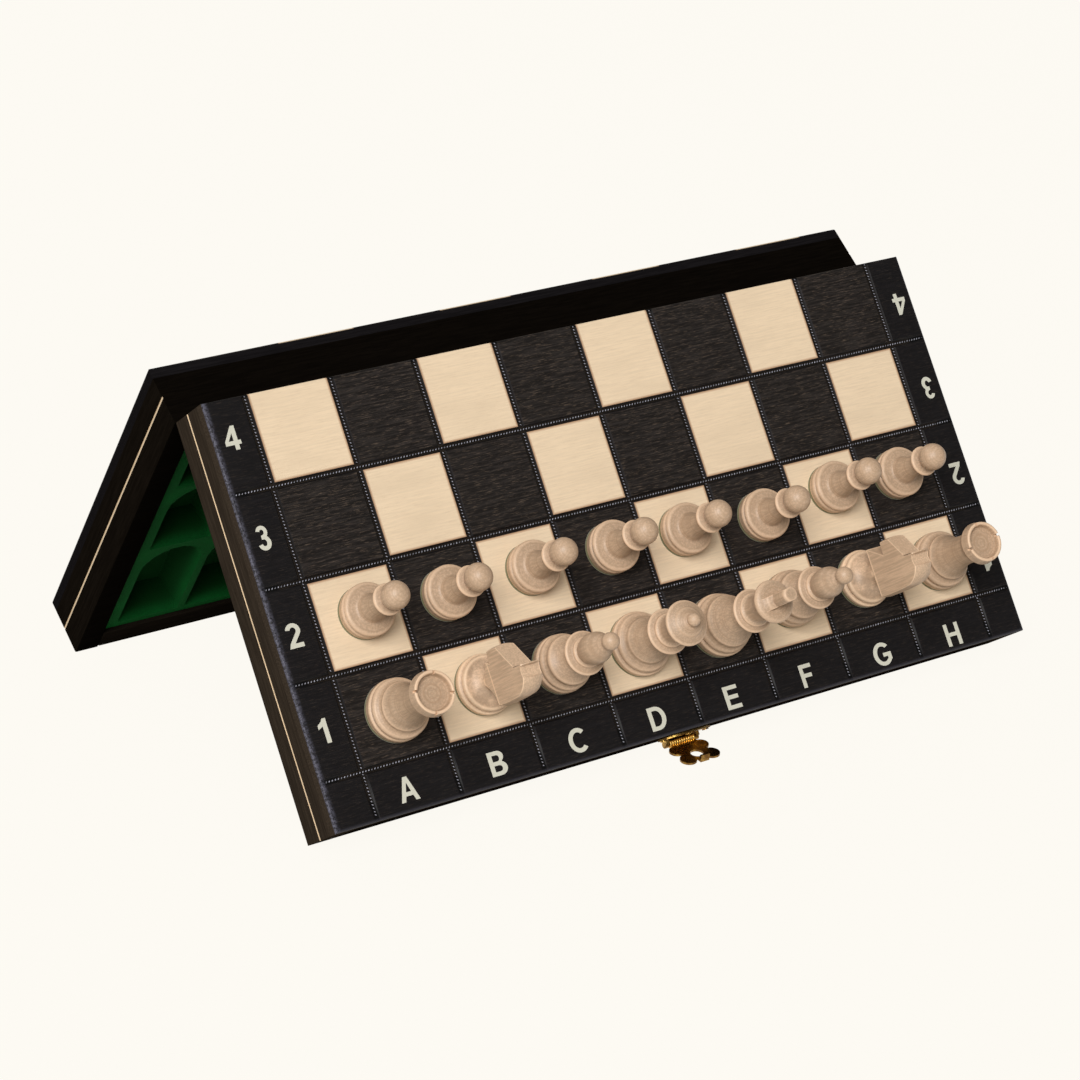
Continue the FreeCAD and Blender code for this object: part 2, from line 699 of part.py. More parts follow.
def build_half(half, placement, nail_points, own_first):
    """All the pieces that the two halves have alike. Left and right are as seen from the front."""
    left = 1 if half == "front" else -1
    place(half + "_playing_panel", playing_panel(), placement)
    place(half + "_left_rail", end_rail(left), placement)
    place(half + "_right_rail", end_rail(-left), placement)
    place(half + "_spine_rail", spine_rail(), placement)
    place(half + "_outer_rail", outer_rail(nail_points), placement)
    place(half + "_steel_sheet", steel_sheet(), placement)
    place(half + "_insert_tray", insert_tray(), placement)
    place(half + "_left_hinge_leaf", hinge_leaf(left * hinge_place, own_first), placement)
    place(half + "_right_hinge_leaf", hinge_leaf(-left * hinge_place, own_first), placement)
    place(half + "_hinge_nails", hinge_nails(), placement)


def build_men():
    """Every man with his foot, named by kind and file."""
    for kind, file_index, rank, drift_across, drift_up, turn in standing_shares:
        shape, base_diameter = MEN[kind]
        name = "white_" + kind.split("_")[-1] + "_" + file_letters[file_index]
        placement = man_placement(file_index, rank, drift_across, drift_up, turn)
        place(name, shape().cut(magnet_recess()), placement)
        place(name + "_foot", foot(base_diameter), placement)


def write_parts():
    """Moves the origin to the middle of the footprint and writes one file per node."""
    boxes = [shape.optimalBoundingBox(False) for shape in nodes.values()]
    middle_y = (min(b.YMin for b in boxes) + max(b.YMax for b in boxes)) / 2
    shift = FreeCAD.Placement(Vector(0, -middle_y, 0), FreeCAD.Rotation())
    os.makedirs("parts", exist_ok=True)
    for name, shape in nodes.items():
        shape.Placement = shift.multiply(shape.Placement)
        shape.exportStep("parts/" + name + ".step")
    print("nodes", len(nodes), "fold axis y", -middle_y, "z", fold_height)


build_half("front", FRONT, clasp_nail_points(), 1)
build_half("back", BACK, catch_nail_points(), 0)
place("hinge_pins", hinge_pins(), FRONT)
place("clasp_plate", clasp_plate(), FRONT)
place("clasp_pin", clasp_pin(), FRONT)
place("clasp_nails", face_nails(clasp_nail_points(), clasp_plate_thickness), FRONT)
place("hasp", hasp(), FRONT.multiply(hasp_placement()))
place("catch_plate", catch_plate(), BACK)
place("catch_nails", face_nails(catch_nail_points(), catch_plate_thickness), BACK)
build_men()
write_parts()
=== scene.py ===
import json
import math

import bpy
import numpy as np
from bpy.props import FloatProperty, FloatVectorProperty, PointerProperty
from mathutils import Matrix, Vector


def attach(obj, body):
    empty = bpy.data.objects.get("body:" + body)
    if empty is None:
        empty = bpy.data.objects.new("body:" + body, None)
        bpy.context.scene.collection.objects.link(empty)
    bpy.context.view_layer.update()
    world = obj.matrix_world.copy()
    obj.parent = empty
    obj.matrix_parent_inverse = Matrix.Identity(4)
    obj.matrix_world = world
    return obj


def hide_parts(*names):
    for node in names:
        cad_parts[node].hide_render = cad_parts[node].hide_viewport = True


bl_info = {
    "name": "Folding Chess Board",
    "version": (1, 0, 0),
    "blender": (4, 5, 0),
    "location": "3D View > Sidebar > Chess Board",
    "description": "Dresses the frame of a folding magnetic chess board with its finished surfaces",
    "category": "Object",
}

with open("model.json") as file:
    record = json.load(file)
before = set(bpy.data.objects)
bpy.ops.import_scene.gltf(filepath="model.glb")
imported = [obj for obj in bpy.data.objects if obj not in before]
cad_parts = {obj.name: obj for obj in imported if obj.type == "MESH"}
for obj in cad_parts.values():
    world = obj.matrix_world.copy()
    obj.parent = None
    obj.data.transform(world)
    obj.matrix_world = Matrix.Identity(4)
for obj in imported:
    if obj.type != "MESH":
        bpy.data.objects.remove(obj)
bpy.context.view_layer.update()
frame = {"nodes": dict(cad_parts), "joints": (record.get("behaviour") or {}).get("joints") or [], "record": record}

MM = 0.001
FILES = 8
RANKS = 4
HALVES = ("front", "back")
FOLD = next(joint for joint in frame["joints"] if joint["name"] == "fold")
SWING = next(joint for joint in frame["joints"] if joint["name"] == "hasp_swing")
FACE = next(mount for mount in frame["record"]["mounts"] if mount["name"] == "back_board_face")
LEAN = math.atan2(FACE["axis"][2], FACE["axis"][1])
FOLD_POINT = np.array(FOLD["pos_m"])


# Places on the two halves
def board_axes(half):
    """Rows are the board's own axes in the row frame: across to the player's right, up it, and outwards."""
    side = -1 if half == "front" else 1
    return np.array([
        [-side, 0, 0],
        [0, -side * math.sin(LEAN), math.cos(LEAN)],
        [0, side * math.cos(LEAN), math.sin(LEAN)]])


def to_row(half, points):
    """Board places (across, up, outwards), measured from the fold axis, as places in the row frame."""
    return np.asarray(points, float) @ board_axes(half) + FOLD_POINT


def board_points(half, node):
    """All the points of a CAD node in board places."""
    mesh = frame["nodes"][node].data
    flat = np.empty(len(mesh.vertices) * 3)
    mesh.vertices.foreach_get("co", flat)
    return (flat.reshape(-1, 3) - FOLD_POINT) @ board_axes(half).T


def board_box(half, node):
    """Lowest and highest corner of a CAD node in board places."""
    local = board_points(half, node)
    return local.min(0), local.max(0)


PANEL_LOW, PANEL_HIGH = board_box("front", "front_playing_panel")
TRAY_LOW, TRAY_HIGH = board_box("front", "front_insert_tray")
MEN = sorted(n for n in frame["nodes"] if n.startswith("white_") and not n.endswith("_foot"))

# Beads of the pressed lines: half lengths as shares of their pitch, height as a share of the line's depth
BEAD_LONG_SHARE = 0.58
BEAD_WIDE_SHARE = 0.32
BEAD_HIGH_SHARE = 0.95
BEAD_SLANT_DEG = 52
BEAD_RISE_DEG = (0, 38, 68)
BEAD_SIDES = 8

# Pockets of the trays: columns of three at the ends and wider ones of two between, with the lengths as shares
POCKET_DEPTH = 12 * MM
POCKET_WIDTH = 21.5 * MM
POCKET_WEB = 4 * MM
POCKET_SIDE_MARGIN = 5.35 * MM
POCKET_END_MARGIN = 3.25 * MM
COLUMNS_EACH_SIDE = 2
ROW_SHARES = (0.395, 0.314, 0.291)
MIDDLE_WIDTH = 34 * MM
MIDDLE_PLACE = 28 * MM
MIDDLE_SHARES = (0.5, 0.5)
TRAY_STEP = 0.85 * MM

# Turned profiles. A pair is a straight step to (radius, height), four numbers are an arc through the first
# two to the last two, and a single number is a dome about the axis up to that height. Radii are shares of the
# base radius, heights are shares of the man's height.
PROFILE_SHARES = {
    "pawn": (
        (0.95, 0.022), (0.985, 0.036), (0.985, 0.092), (0.98, 0.124, 0.92, 0.136), (0.89, 0.144),
        (1.0, 0.182, 0.93, 0.216), (0.62, 0.232), (0.55, 0.242), (0.415, 0.400, 0.35, 0.605),
        (0.53, 0.630), (0.59, 0.652, 0.53, 0.675), (0.24, 0.697), (1.0,)),
    "bishop": (
        (0.94, 0.016), (1.0, 0.030), (1.0, 0.083), (0.985, 0.098, 0.93, 0.105), (0.89, 0.110),
        (0.975, 0.141, 0.89, 0.173), (0.85, 0.186, 0.84, 0.212), (0.855, 0.236, 0.80, 0.254),
        (0.470, 0.335, 0.390, 0.425), (0.700, 0.466), (0.760, 0.482, 0.710, 0.500), (0.510, 0.513),
        (0.530, 0.527, 0.485, 0.540), (0.425, 0.548), (0.535, 0.645, 0.500, 0.735),
        (0.350, 0.805, 0.180, 0.862), (1.0,)),
    "rook": (
        (0.94, 0.021), (1.0, 0.038), (1.0, 0.100), (0.985, 0.118, 0.93, 0.127), (0.89, 0.133),
        (0.975, 0.176, 0.88, 0.216), (0.79, 0.232, 0.760, 0.261), (0.785, 0.283, 0.735, 0.302),
        (0.545, 0.483, 0.510, 0.707), (0.555, 0.810, 0.700, 0.872), (0.725, 0.886), (0.675, 1.0),
        (0.585, 1.0), (0.535, 0.924), (0.0, 0.924)),
    "tall_knight": (
        (0.94, 0.017), (1.0, 0.033), (1.0, 0.066), (0.985, 0.080, 0.93, 0.087), (0.88, 0.092),
        (0.925, 0.117, 0.85, 0.149), (0.46, 0.198, 0.34, 0.290), (0.34, 0.335), (0.92, 0.345),
        (0.935, 0.550, 0.915, 0.753), (1.0,)),
    "short_knight": (
        (0.94, 0.019), (1.0, 0.036), (1.0, 0.073), (0.985, 0.088, 0.93, 0.095), (0.88, 0.100),
        (0.925, 0.128, 0.85, 0.163), (0.46, 0.192, 0.344, 0.232), (0.44, 0.305, 0.92, 0.384),
        (0.935, 0.580, 0.915, 0.732), (1.0,)),
    "king": (
        (0.94, 0.013), (1.0, 0.026), (1.0, 0.067), (0.985, 0.078, 0.93, 0.084), (0.89, 0.088),
        (0.945, 0.115, 0.87, 0.141), (0.83, 0.153, 0.815, 0.179), (0.82, 0.197, 0.77, 0.211),
        (0.470, 0.326, 0.395, 0.453), (0.640, 0.480), (0.690, 0.493, 0.645, 0.506), (0.505, 0.516),
        (0.530, 0.529, 0.480, 0.540), (0.430, 0.550), (0.476, 0.665, 0.640, 0.750),
        (0.672, 0.776, 0.600, 0.797), (0.440, 0.812), (0.370, 0.830), (0.250, 0.838), (0.233, 0.843),
        (0.252, 0.858), (0.258, 0.915, 0.252, 0.985), (0.215, 1.0), (0.0, 1.0)),
    "queen": (
        (0.94, 0.016), (1.0, 0.032), (1.0, 0.064), (0.985, 0.079, 0.93, 0.085), (0.88, 0.089),
        (0.925, 0.117, 0.84, 0.146), (0.755, 0.160, 0.715, 0.196),
        (0.460, 0.320, 0.395, 0.470), (0.655, 0.503), (0.705, 0.517, 0.660, 0.533), (0.500, 0.546),
        (0.525, 0.561, 0.475, 0.574), (0.425, 0.584), (0.480, 0.710, 0.690, 0.806), (0.700, 0.826),
        (0.680, 0.836), (0.470, 0.862), (0.455, 0.872), (0.215, 0.902), (0.150, 0.906), (1.0,)),
}
FELT_THICKNESS = 0.6 * MM
KNIGHT_KINDS = {"white_knight_b": "short_knight", "white_knight_g": "tall_knight"}
TURNS_DEG = {"white_rook_a": -15, "white_king_e": 8, "white_rook_h": 10}
TURNED_SIDES = 72
SAWN_SIDES = 144

# Saw cuts. Rook: slot width and depth. Knights: slab thickness, then for each the height share where the
# sides are sawn from, the jaw notch's two ends and its roof, the forehead's two ends, and the hollow behind
# the ear from front to back. King: thickness, height shares of the flats' start and of the slot's ends, and
# the stem's share of the thickness.
ROOK_SLOT = (0.8 * MM, 1.6 * MM)
KNIGHT_SLAB = 6.8 * MM
KNIGHT_CUT_SHARES = {
    "tall_knight": (0.300, ((0.90, 0.307), (0.39, 0.584)), 0.571, ((1.0, 0.672), (0.133, 0.857)),
                    ((0.10, 1.02), (0.06, 0.960), (-0.12, 0.945), (-0.30, 0.955), (-0.42, 1.02))),
    "short_knight": (0.232, ((0.75, 0.238), (0.35, 0.533)), 0.445, ((1.0, 0.588), (0.048, 0.840)),
                     ((0.02, 1.02), (-0.02, 0.957), (-0.20, 0.942), (-0.38, 0.952), (-0.50, 1.02)))}
KING_THICKNESS = 4.2 * MM
KING_FLAT_SHARE = 0.806
KING_SLOT_SHARES = (0.840, 0.858)
KING_STEM_SHARE = 0.38

# Outlines of letters and digits, with the height of a capital as their unit: a pair is a corner, and six
# numbers are an arc, given as its middle, its two radii and the angles where it starts and ends.
LETTER_SHARES = {
    "A": (((0, 0), (0.335, 1), (0.525, 1), (0.86, 0), (0.665, 0), (0.595, 0.22), (0.265, 0.22), (0.195, 0)),
          ((0.315, 0.385), (0.545, 0.385), (0.43, 0.76))),
    "B": (((0, 0), (0.45, 0.285, 0.34, 0.285, -90, 62), (0.43, 0.765, 0.30, 0.235, -52, 90), (0, 1)),
          ((0.2, 0.16), (0.42, 0.285, 0.14, 0.125, -90, 90), (0.2, 0.41)),
          ((0.2, 0.575), (0.40, 0.705, 0.12, 0.13, -90, 90), (0.2, 0.835))),
    "C": (((0.47, 0.5, 0.47, 0.515, 42, 318), (0.47, 0.5, 0.265, 0.335, 315, 45)),),
    "D": (((0, 0), (0.36, 0.5, 0.46, 0.5, -90, 90), (0, 1)),
          ((0.2, 0.17), (0.36, 0.5, 0.25, 0.33, -90, 90), (0.2, 0.83))),
    "E": (((0, 0), (0.74, 0), (0.74, 0.17), (0.2, 0.17), (0.2, 0.43), (0.68, 0.43), (0.68, 0.6), (0.2, 0.6),
           (0.2, 0.83), (0.72, 0.83), (0.72, 1), (0, 1)),),
    "F": (((0, 0), (0.19, 0), (0.19, 0.42), (0.58, 0.42), (0.58, 0.59), (0.19, 0.59), (0.19, 0.83),
           (0.64, 0.83), (0.64, 1), (0, 1)),),
    "G": (((0.49, 0.5, 0.49, 0.515, 40, 322), (0.93, 0.22), (0.93, 0.54), (0.5, 0.54), (0.5, 0.37),
           (0.73, 0.37), (0.73, 0.26), (0.49, 0.5, 0.28, 0.345, 310, 45)),),
    "H": (((0, 0), (0.2, 0), (0.2, 0.42), (0.6, 0.42), (0.6, 0), (0.8, 0), (0.8, 1), (0.6, 1), (0.6, 0.59),
           (0.2, 0.59), (0.2, 1), (0, 1)),),
    "1": (((0.21, 0), (0.41, 0), (0.41, 1), (0.25, 1), (0.19, 0.89), (0, 0.76), (0, 0.585), (0.21, 0.69)),),
    "2": (((0, 0), (0.66, 0), (0.66, 0.18), (0.29, 0.18), (0.335, 0.70, 0.325, 0.305, -28, 168),
           (0.335, 0.70, 0.13, 0.135, 165, -38), (0.08, 0.2)),),
    "3": (((0.28, 0.74, 0.25, 0.265, 165, -42), (0.285, 0.29, 0.29, 0.305, 48, -168),
           (0.285, 0.3, 0.105, 0.14, -165, 85), (0.21, 0.44), (0.21, 0.6),
           (0.28, 0.735, 0.09, 0.11, -85, 160)),),
    "4": (((0.38, 0), (0.57, 0), (0.57, 0.21), (0.7, 0.21), (0.7, 0.38), (0.57, 0.38), (0.57, 1), (0.4, 1),
           (0, 0.38), (0, 0.21), (0.38, 0.21)), ((0.38, 0.38), (0.38, 0.7), (0.165, 0.38))),
    "5": (((0.62, 1), (0.12, 1), (0.03, 0.455), (0.31, 0.325, 0.145, 0.165, 140, -165),
           (0.31, 0.325, 0.345, 0.34, -168, 105), (0.27, 0.83), (0.62, 0.83)),),
    "6": (((0.34, 0.5, 0.34, 0.515, 55, 265), (0.35, 0.32, 0.325, 0.335, -90, 128),
           (0.36, 0.55, 0.15, 0.3, 172, 58)), ((0.35, 0.32, 0.135, 0.165, 0, 350),)),
    "7": (((0, 1), (0.66, 1), (0.66, 0.86), (0.42, 0.45), (0.34, 0), (0.14, 0), (0.22, 0.45), (0.43, 0.82),
           (0, 0.82)),),
    "8": (((0.335, 0.745, 0.285, 0.265, -40, 220), (0.335, 0.29, 0.335, 0.305, 140, 400)),
          ((0.335, 0.735, 0.115, 0.115, 0, 350),), ((0.335, 0.29, 0.14, 0.145, 0, 350),)),
}
# Where each mark is printed: letters as drift across in squares and height in the outer border, digits as
# height in their square and distance out in the side border
MARKS = {"front": ("ABCDEFGH", "1234"), "back": ("HGFEDCBA", "8765")}
LETTER_DRIFT_SHARES = (-0.076, -0.006, -0.029, -0.016, -0.044, -0.038, 0.003, 0.009)
LETTER_UP_SHARES = (0.444, 0.431, 0.418, 0.397, 0.381, 0.376, 0.359, 0.344)
LEFT_DIGIT_SHARES = (0.494, 0.491, 0.516, 0.574)
RIGHT_DIGIT_SHARES = (0.36, 0.39, 0.42, 0.433)
DIGIT_OUT_SHARES = (0.562, 0.617)
INK_LIFT = 0.03 * MM
ARC_STEP_DEG = 12

# How dark each kind of rail is, as a share of the rail colour: painted shade, darker copies of one stain for the
# rails that face away from the light or lie between the halves
LONG_RAIL_PAINTED_SHADE = 0.25
SPINE_RAIL_PAINTED_SHADE = 0.1
END_RAIL_PAINTED_SHADES = {"front": 1.0, "back": 0.2}

# Stage: the camera, in metres from the point under the fold axis, and the lamps as place, size and power
CAMERA_PLACE = Vector((-0.5527, -0.8167, 0.4753))
CAMERA_FORWARD = Vector((0.5133, 0.7573, -0.4037))
CAMERA_RIGHT = Vector((0.8321, -0.5543, 0.0183))
CAMERA_LENS = 107.07
LAMP_TARGET = Vector((0, 0, 0.05))
LAMPS = {
    "key_lamp": ((-3.3, -3.6, 4.1), 3.4, 380.0),
    "left_lamp": ((-1.55, -1.2, 1.1), 0.5, 4.0),
    "back_lamp": ((-0.4, 1.2, 1.1), 1.0, 5.0)}
FLOOR_REACH = 6.0


def srgb(red, green, blue):
    """Linear colour of three display values from 0 to 255."""
    value = np.array([red, green, blue]) / 255
    linear = np.where(value <= 0.04045, value / 12.92, ((value + 0.055) / 1.055) ** 2.4)
    return tuple(float(v) for v in linear)


def tint(colour, factor=1.0):
    """Plain colour made darker or lighter."""
    return tuple(min(1.0, c * factor) for c in colour)


def colour_property(name, description, default):
    """Colour setting with a swatch."""
    return FloatVectorProperty(name=name, description=description, subtype="COLOR", size=3, min=0, max=1,
                               default=default)


def length_property(name, description, default):
    """Length setting in metres."""
    return FloatProperty(name=name, description=description, unit="LENGTH", subtype="DISTANCE", min=0,
                         default=default, precision=5)


class ChessBoardSizes(bpy.types.PropertyGroup):
    square: length_property("Square", "Side of one square", 30 * MM)
    outer_border: length_property("Outer border", "Border that holds the letters", 15.5 * MM)
    edge_round: length_property("Edge rounding", "Radius of the panel's playing edges", 0.8 * MM)
    line_half_width: length_property("Line half width", "Half the width of a pressed line", 1.2 * MM)
    line_depth: length_property("Line depth", "Depth of a pressed line", 0.55 * MM)
    bead_pitch: length_property("Bead pitch", "Distance from bead to bead along a line", 1.05 * MM)
    letter_height: length_property("Letter height", "Height of letters and digits", 7.6 * MM)
    rail_round: length_property("Rail rounding", "Radius of the rails' edges", 0.5 * MM)
    bare_width: length_property("Bare line width", "Width of the bare line on the end rails", 0.75 * MM)
    bare_depth: length_property("Bare line depth", "Depth of the bare line", 0.15 * MM)
    pocket_wall: length_property("Pocket wall run", "How far a pocket's wall slopes inwards", 1.8 * MM)
    turning_step: length_property("Turning step", "Distance between points along a turned profile", 0.3 * MM)
    saw_ease: length_property("Sawn edge easing", "Rounding of the sawn edges of knights and king", 0.25 * MM)


class ChessBoardColours(bpy.types.PropertyGroup):
    pale_square: colour_property("Pale squares", "Bare veneer", srgb(233, 209, 177))
    scorch: colour_property("Scorched edge", "Brown rim of a pale square", srgb(150, 100, 62))
    dark_square: colour_property("Dark squares", "Stained veneer", srgb(36, 32, 30))
    fleck: colour_property("Flecks", "Brown flecks of the stained veneer", srgb(98, 84, 72))
    border: colour_property("Border", "Stained border", srgb(23, 21, 22))
    # Painted sheen on the panels' rounded edges, standing in for a lamp's reflection
    painted_edge_sheen: colour_property("Worn edge", "Polished rounding of the panels", srgb(96, 95, 108))
    rail: colour_property("Rails", "Stained rails", srgb(61, 52, 43))
    # Painted highlight on the beads' crests, standing in for the lamps' glints
    bead_highlight: colour_property("Bead crests", "Burnished crests of the pressed lines", srgb(168, 168, 180))
    bare_line: colour_property("Bare line", "Unstained line on the end rails", srgb(228, 205, 172))
    print_ink: colour_property("Lettering", "Printed letters and digits", srgb(207, 205, 189))
    men: colour_property("Men", "Turned pale wood", srgb(199, 169, 140))
    felt: colour_property("Felt", "Felt under the men", srgb(132, 128, 84))
    flock: colour_property("Flock", "Flocked insert", srgb(7, 74, 27))
    # Painted shade for the flock down in the pockets
    pocket_shade: colour_property("Pockets", "Flock deep in the pockets", srgb(3, 45, 12))
    brass: colour_property("Brass", "Brass fittings", srgb(236, 192, 104))
    tarnish: colour_property("Tarnish", "Brown skin of aged brass", srgb(112, 80, 42))
    steel: colour_property("Steel", "Sheet under the panels", srgb(150, 150, 152))
    backdrop: colour_property("Backdrop", "Floor and background", srgb(253, 250, 243))


# Node trees
class Graph:
    """Short way to lay out shader nodes and wire them."""

    def __init__(self, tree):
        self.tree = tree

    def node(self, kind, inputs=None, **settings):
        """New node with its settings and inputs; an input is a socket to wire or a plain value."""
        made = self.tree.nodes.new(kind)
        for key, value in settings.items():
            setattr(made, key, value)
        for key, value in (inputs or {}).items():
            self.feed(made.inputs[key], value)
        return made

    def feed(self, socket, value):
        """Wires a socket or sets its value."""
        if isinstance(value, bpy.types.NodeSocket):
            self.tree.links.new(value, socket)
        elif socket.type == "RGBA":
            socket.default_value = (*value, 1)
        else:
            socket.default_value = value

    def math(self, operation, *values, clamp=False):
        """Output of one Math node."""
        return self.node("ShaderNodeMath", dict(enumerate(values)), operation=operation,
                         use_clamp=clamp).outputs[0]

    def times(self, first, second, clamp=False):
        """Product of two values."""
        return self.math("MULTIPLY", first, second, clamp=clamp)

    def plus(self, first, second, clamp=False):
        """Sum of two values."""
        return self.math("ADD", first, second, clamp=clamp)

    def minus(self, first, second):
        """Difference of two values."""
        return self.math("SUBTRACT", first, second)

    def reach(self, first, second):
        """Length of the side across from a right angle."""
        return self.math("SQRT", self.plus(self.times(first, first), self.times(second, second)))

    def blend(self, factor, first, second):
        """Colour mixed by a factor."""
        made = self.node("ShaderNodeMix", data_type="RGBA")
        for key, value in ((0, factor), (6, first), (7, second)):
            self.feed(made.inputs[key], value)
        return made.outputs[2]

    def ramp(self, value, low, high, to_low=0.0, to_high=1.0):
        """Smooth step of a value between two limits."""
        return self.node("ShaderNodeMapRange", {"Value": value, "From Min": low, "From Max": high,
                                                "To Min": to_low, "To Max": to_high},
                         interpolation_type="SMOOTHSTEP").outputs[0]

    def noise(self, vector, scale, detail=3.0, roughness=0.55):
        """Noise value from 0 to 1."""
        return self.node("ShaderNodeTexNoise", {"Vector": vector, "Scale": scale, "Detail": detail,
                                                "Roughness": roughness}).outputs[0]

    def mapped(self, vector, **inputs):
        """Vector moved, turned or scaled."""
        inputs = {key.title(): value for key, value in inputs.items()}
        return self.node("ShaderNodeMapping", {"Vector": vector, **inputs}).outputs[0]

    def parts(self, vector):
        """X, Y and Z of a vector."""
        return self.node("ShaderNodeSeparateXYZ", {0: vector}).outputs

    def away(self, vector, middle):
        """X, Y and Z of a vector measured from a middle."""
        made = self.node("ShaderNodeVectorMath", {0: vector, 1: middle}, operation="SUBTRACT")
        return self.parts(made.outputs[0])

    def attribute(self, name, output):
        """Value kept with the piece's points."""
        return self.node("ShaderNodeAttribute", attribute_name=name).outputs[output]

    def place(self):
        """Object coordinates."""
        return self.node("ShaderNodeTexCoord").outputs["Object"]

    def board_place(self, half):
        """Place on a half in millimetres (across, up, outwards) worked out from Object coordinates."""
        turn = (LEAN - math.pi / 2, 0, 0) if half == "front" else (math.pi / 2 - LEAN, 0, math.pi)
        location = tuple(-(board_axes(half) @ FOLD_POINT) / MM)
        return self.mapped(self.place(), rotation=turn, location=location, scale=(1 / MM,) * 3)

    def grain(self, vector):
        """Streaks, pores, clouds and height of wood with its grain along X of a vector in millimetres."""
        group = self.node("ShaderNodeGroup", node_tree=wood_group())
        self.feed(group.inputs[0], vector)
        return group.outputs

    def bumped(self, height, strength, distance):
        """Normal from a height."""
        return self.node("ShaderNodeBump", {"Height": height, "Strength": strength,
                                            "Distance": distance}).outputs[0]


def wood_group():
    """Grain along X of a vector in millimetres: streaks, pores and a height for bump."""
    name = "wood_grain"
    if name in bpy.data.node_groups:
        return bpy.data.node_groups[name]
    tree = bpy.data.node_groups.new(name, "ShaderNodeTree")
    tree.interface.new_socket("Vector", in_out="INPUT", socket_type="NodeSocketVector")
    for output in ("Streaks", "Pores", "Clouds", "Height"):
        tree.interface.new_socket(output, in_out="OUTPUT", socket_type="NodeSocketFloat")
    g = Graph(tree)
    vector = g.node("NodeGroupInput").outputs[0]
    streaks = g.noise(g.mapped(vector, scale=(0.09, 1.7, 1.7)), 1.0, 5.0, 0.62)
    fine = g.noise(g.mapped(vector, scale=(0.3, 4.2, 4.2)), 1.0, 3.0, 0.65)
    pores = g.ramp(fine, 0.54, 0.7)
    clouds = g.noise(g.mapped(vector, scale=(0.03, 0.09, 0.09)), 1.0, 2.0, 0.5)
    height = g.minus(g.times(streaks, 0.4), g.times(pores, 0.6))
    out = g.node("NodeGroupOutput")
    for key, value in enumerate((streaks, pores, clouds, height)):
        g.feed(out.inputs[key], value)
    return tree


def new_material(name):
    """Empty material with its shader; returns the material, its graph and the shader node."""
    material = bpy.data.materials.new(name)
    material.use_nodes = True
    graph = Graph(material.node_tree)
    return material, graph, material.node_tree.nodes["Principled BSDF"]


def finish_shader(g, shader, values):
    """Sets or wires several inputs of the shader."""
    for key, value in values.items():
        g.feed(shader.inputs[key], value)


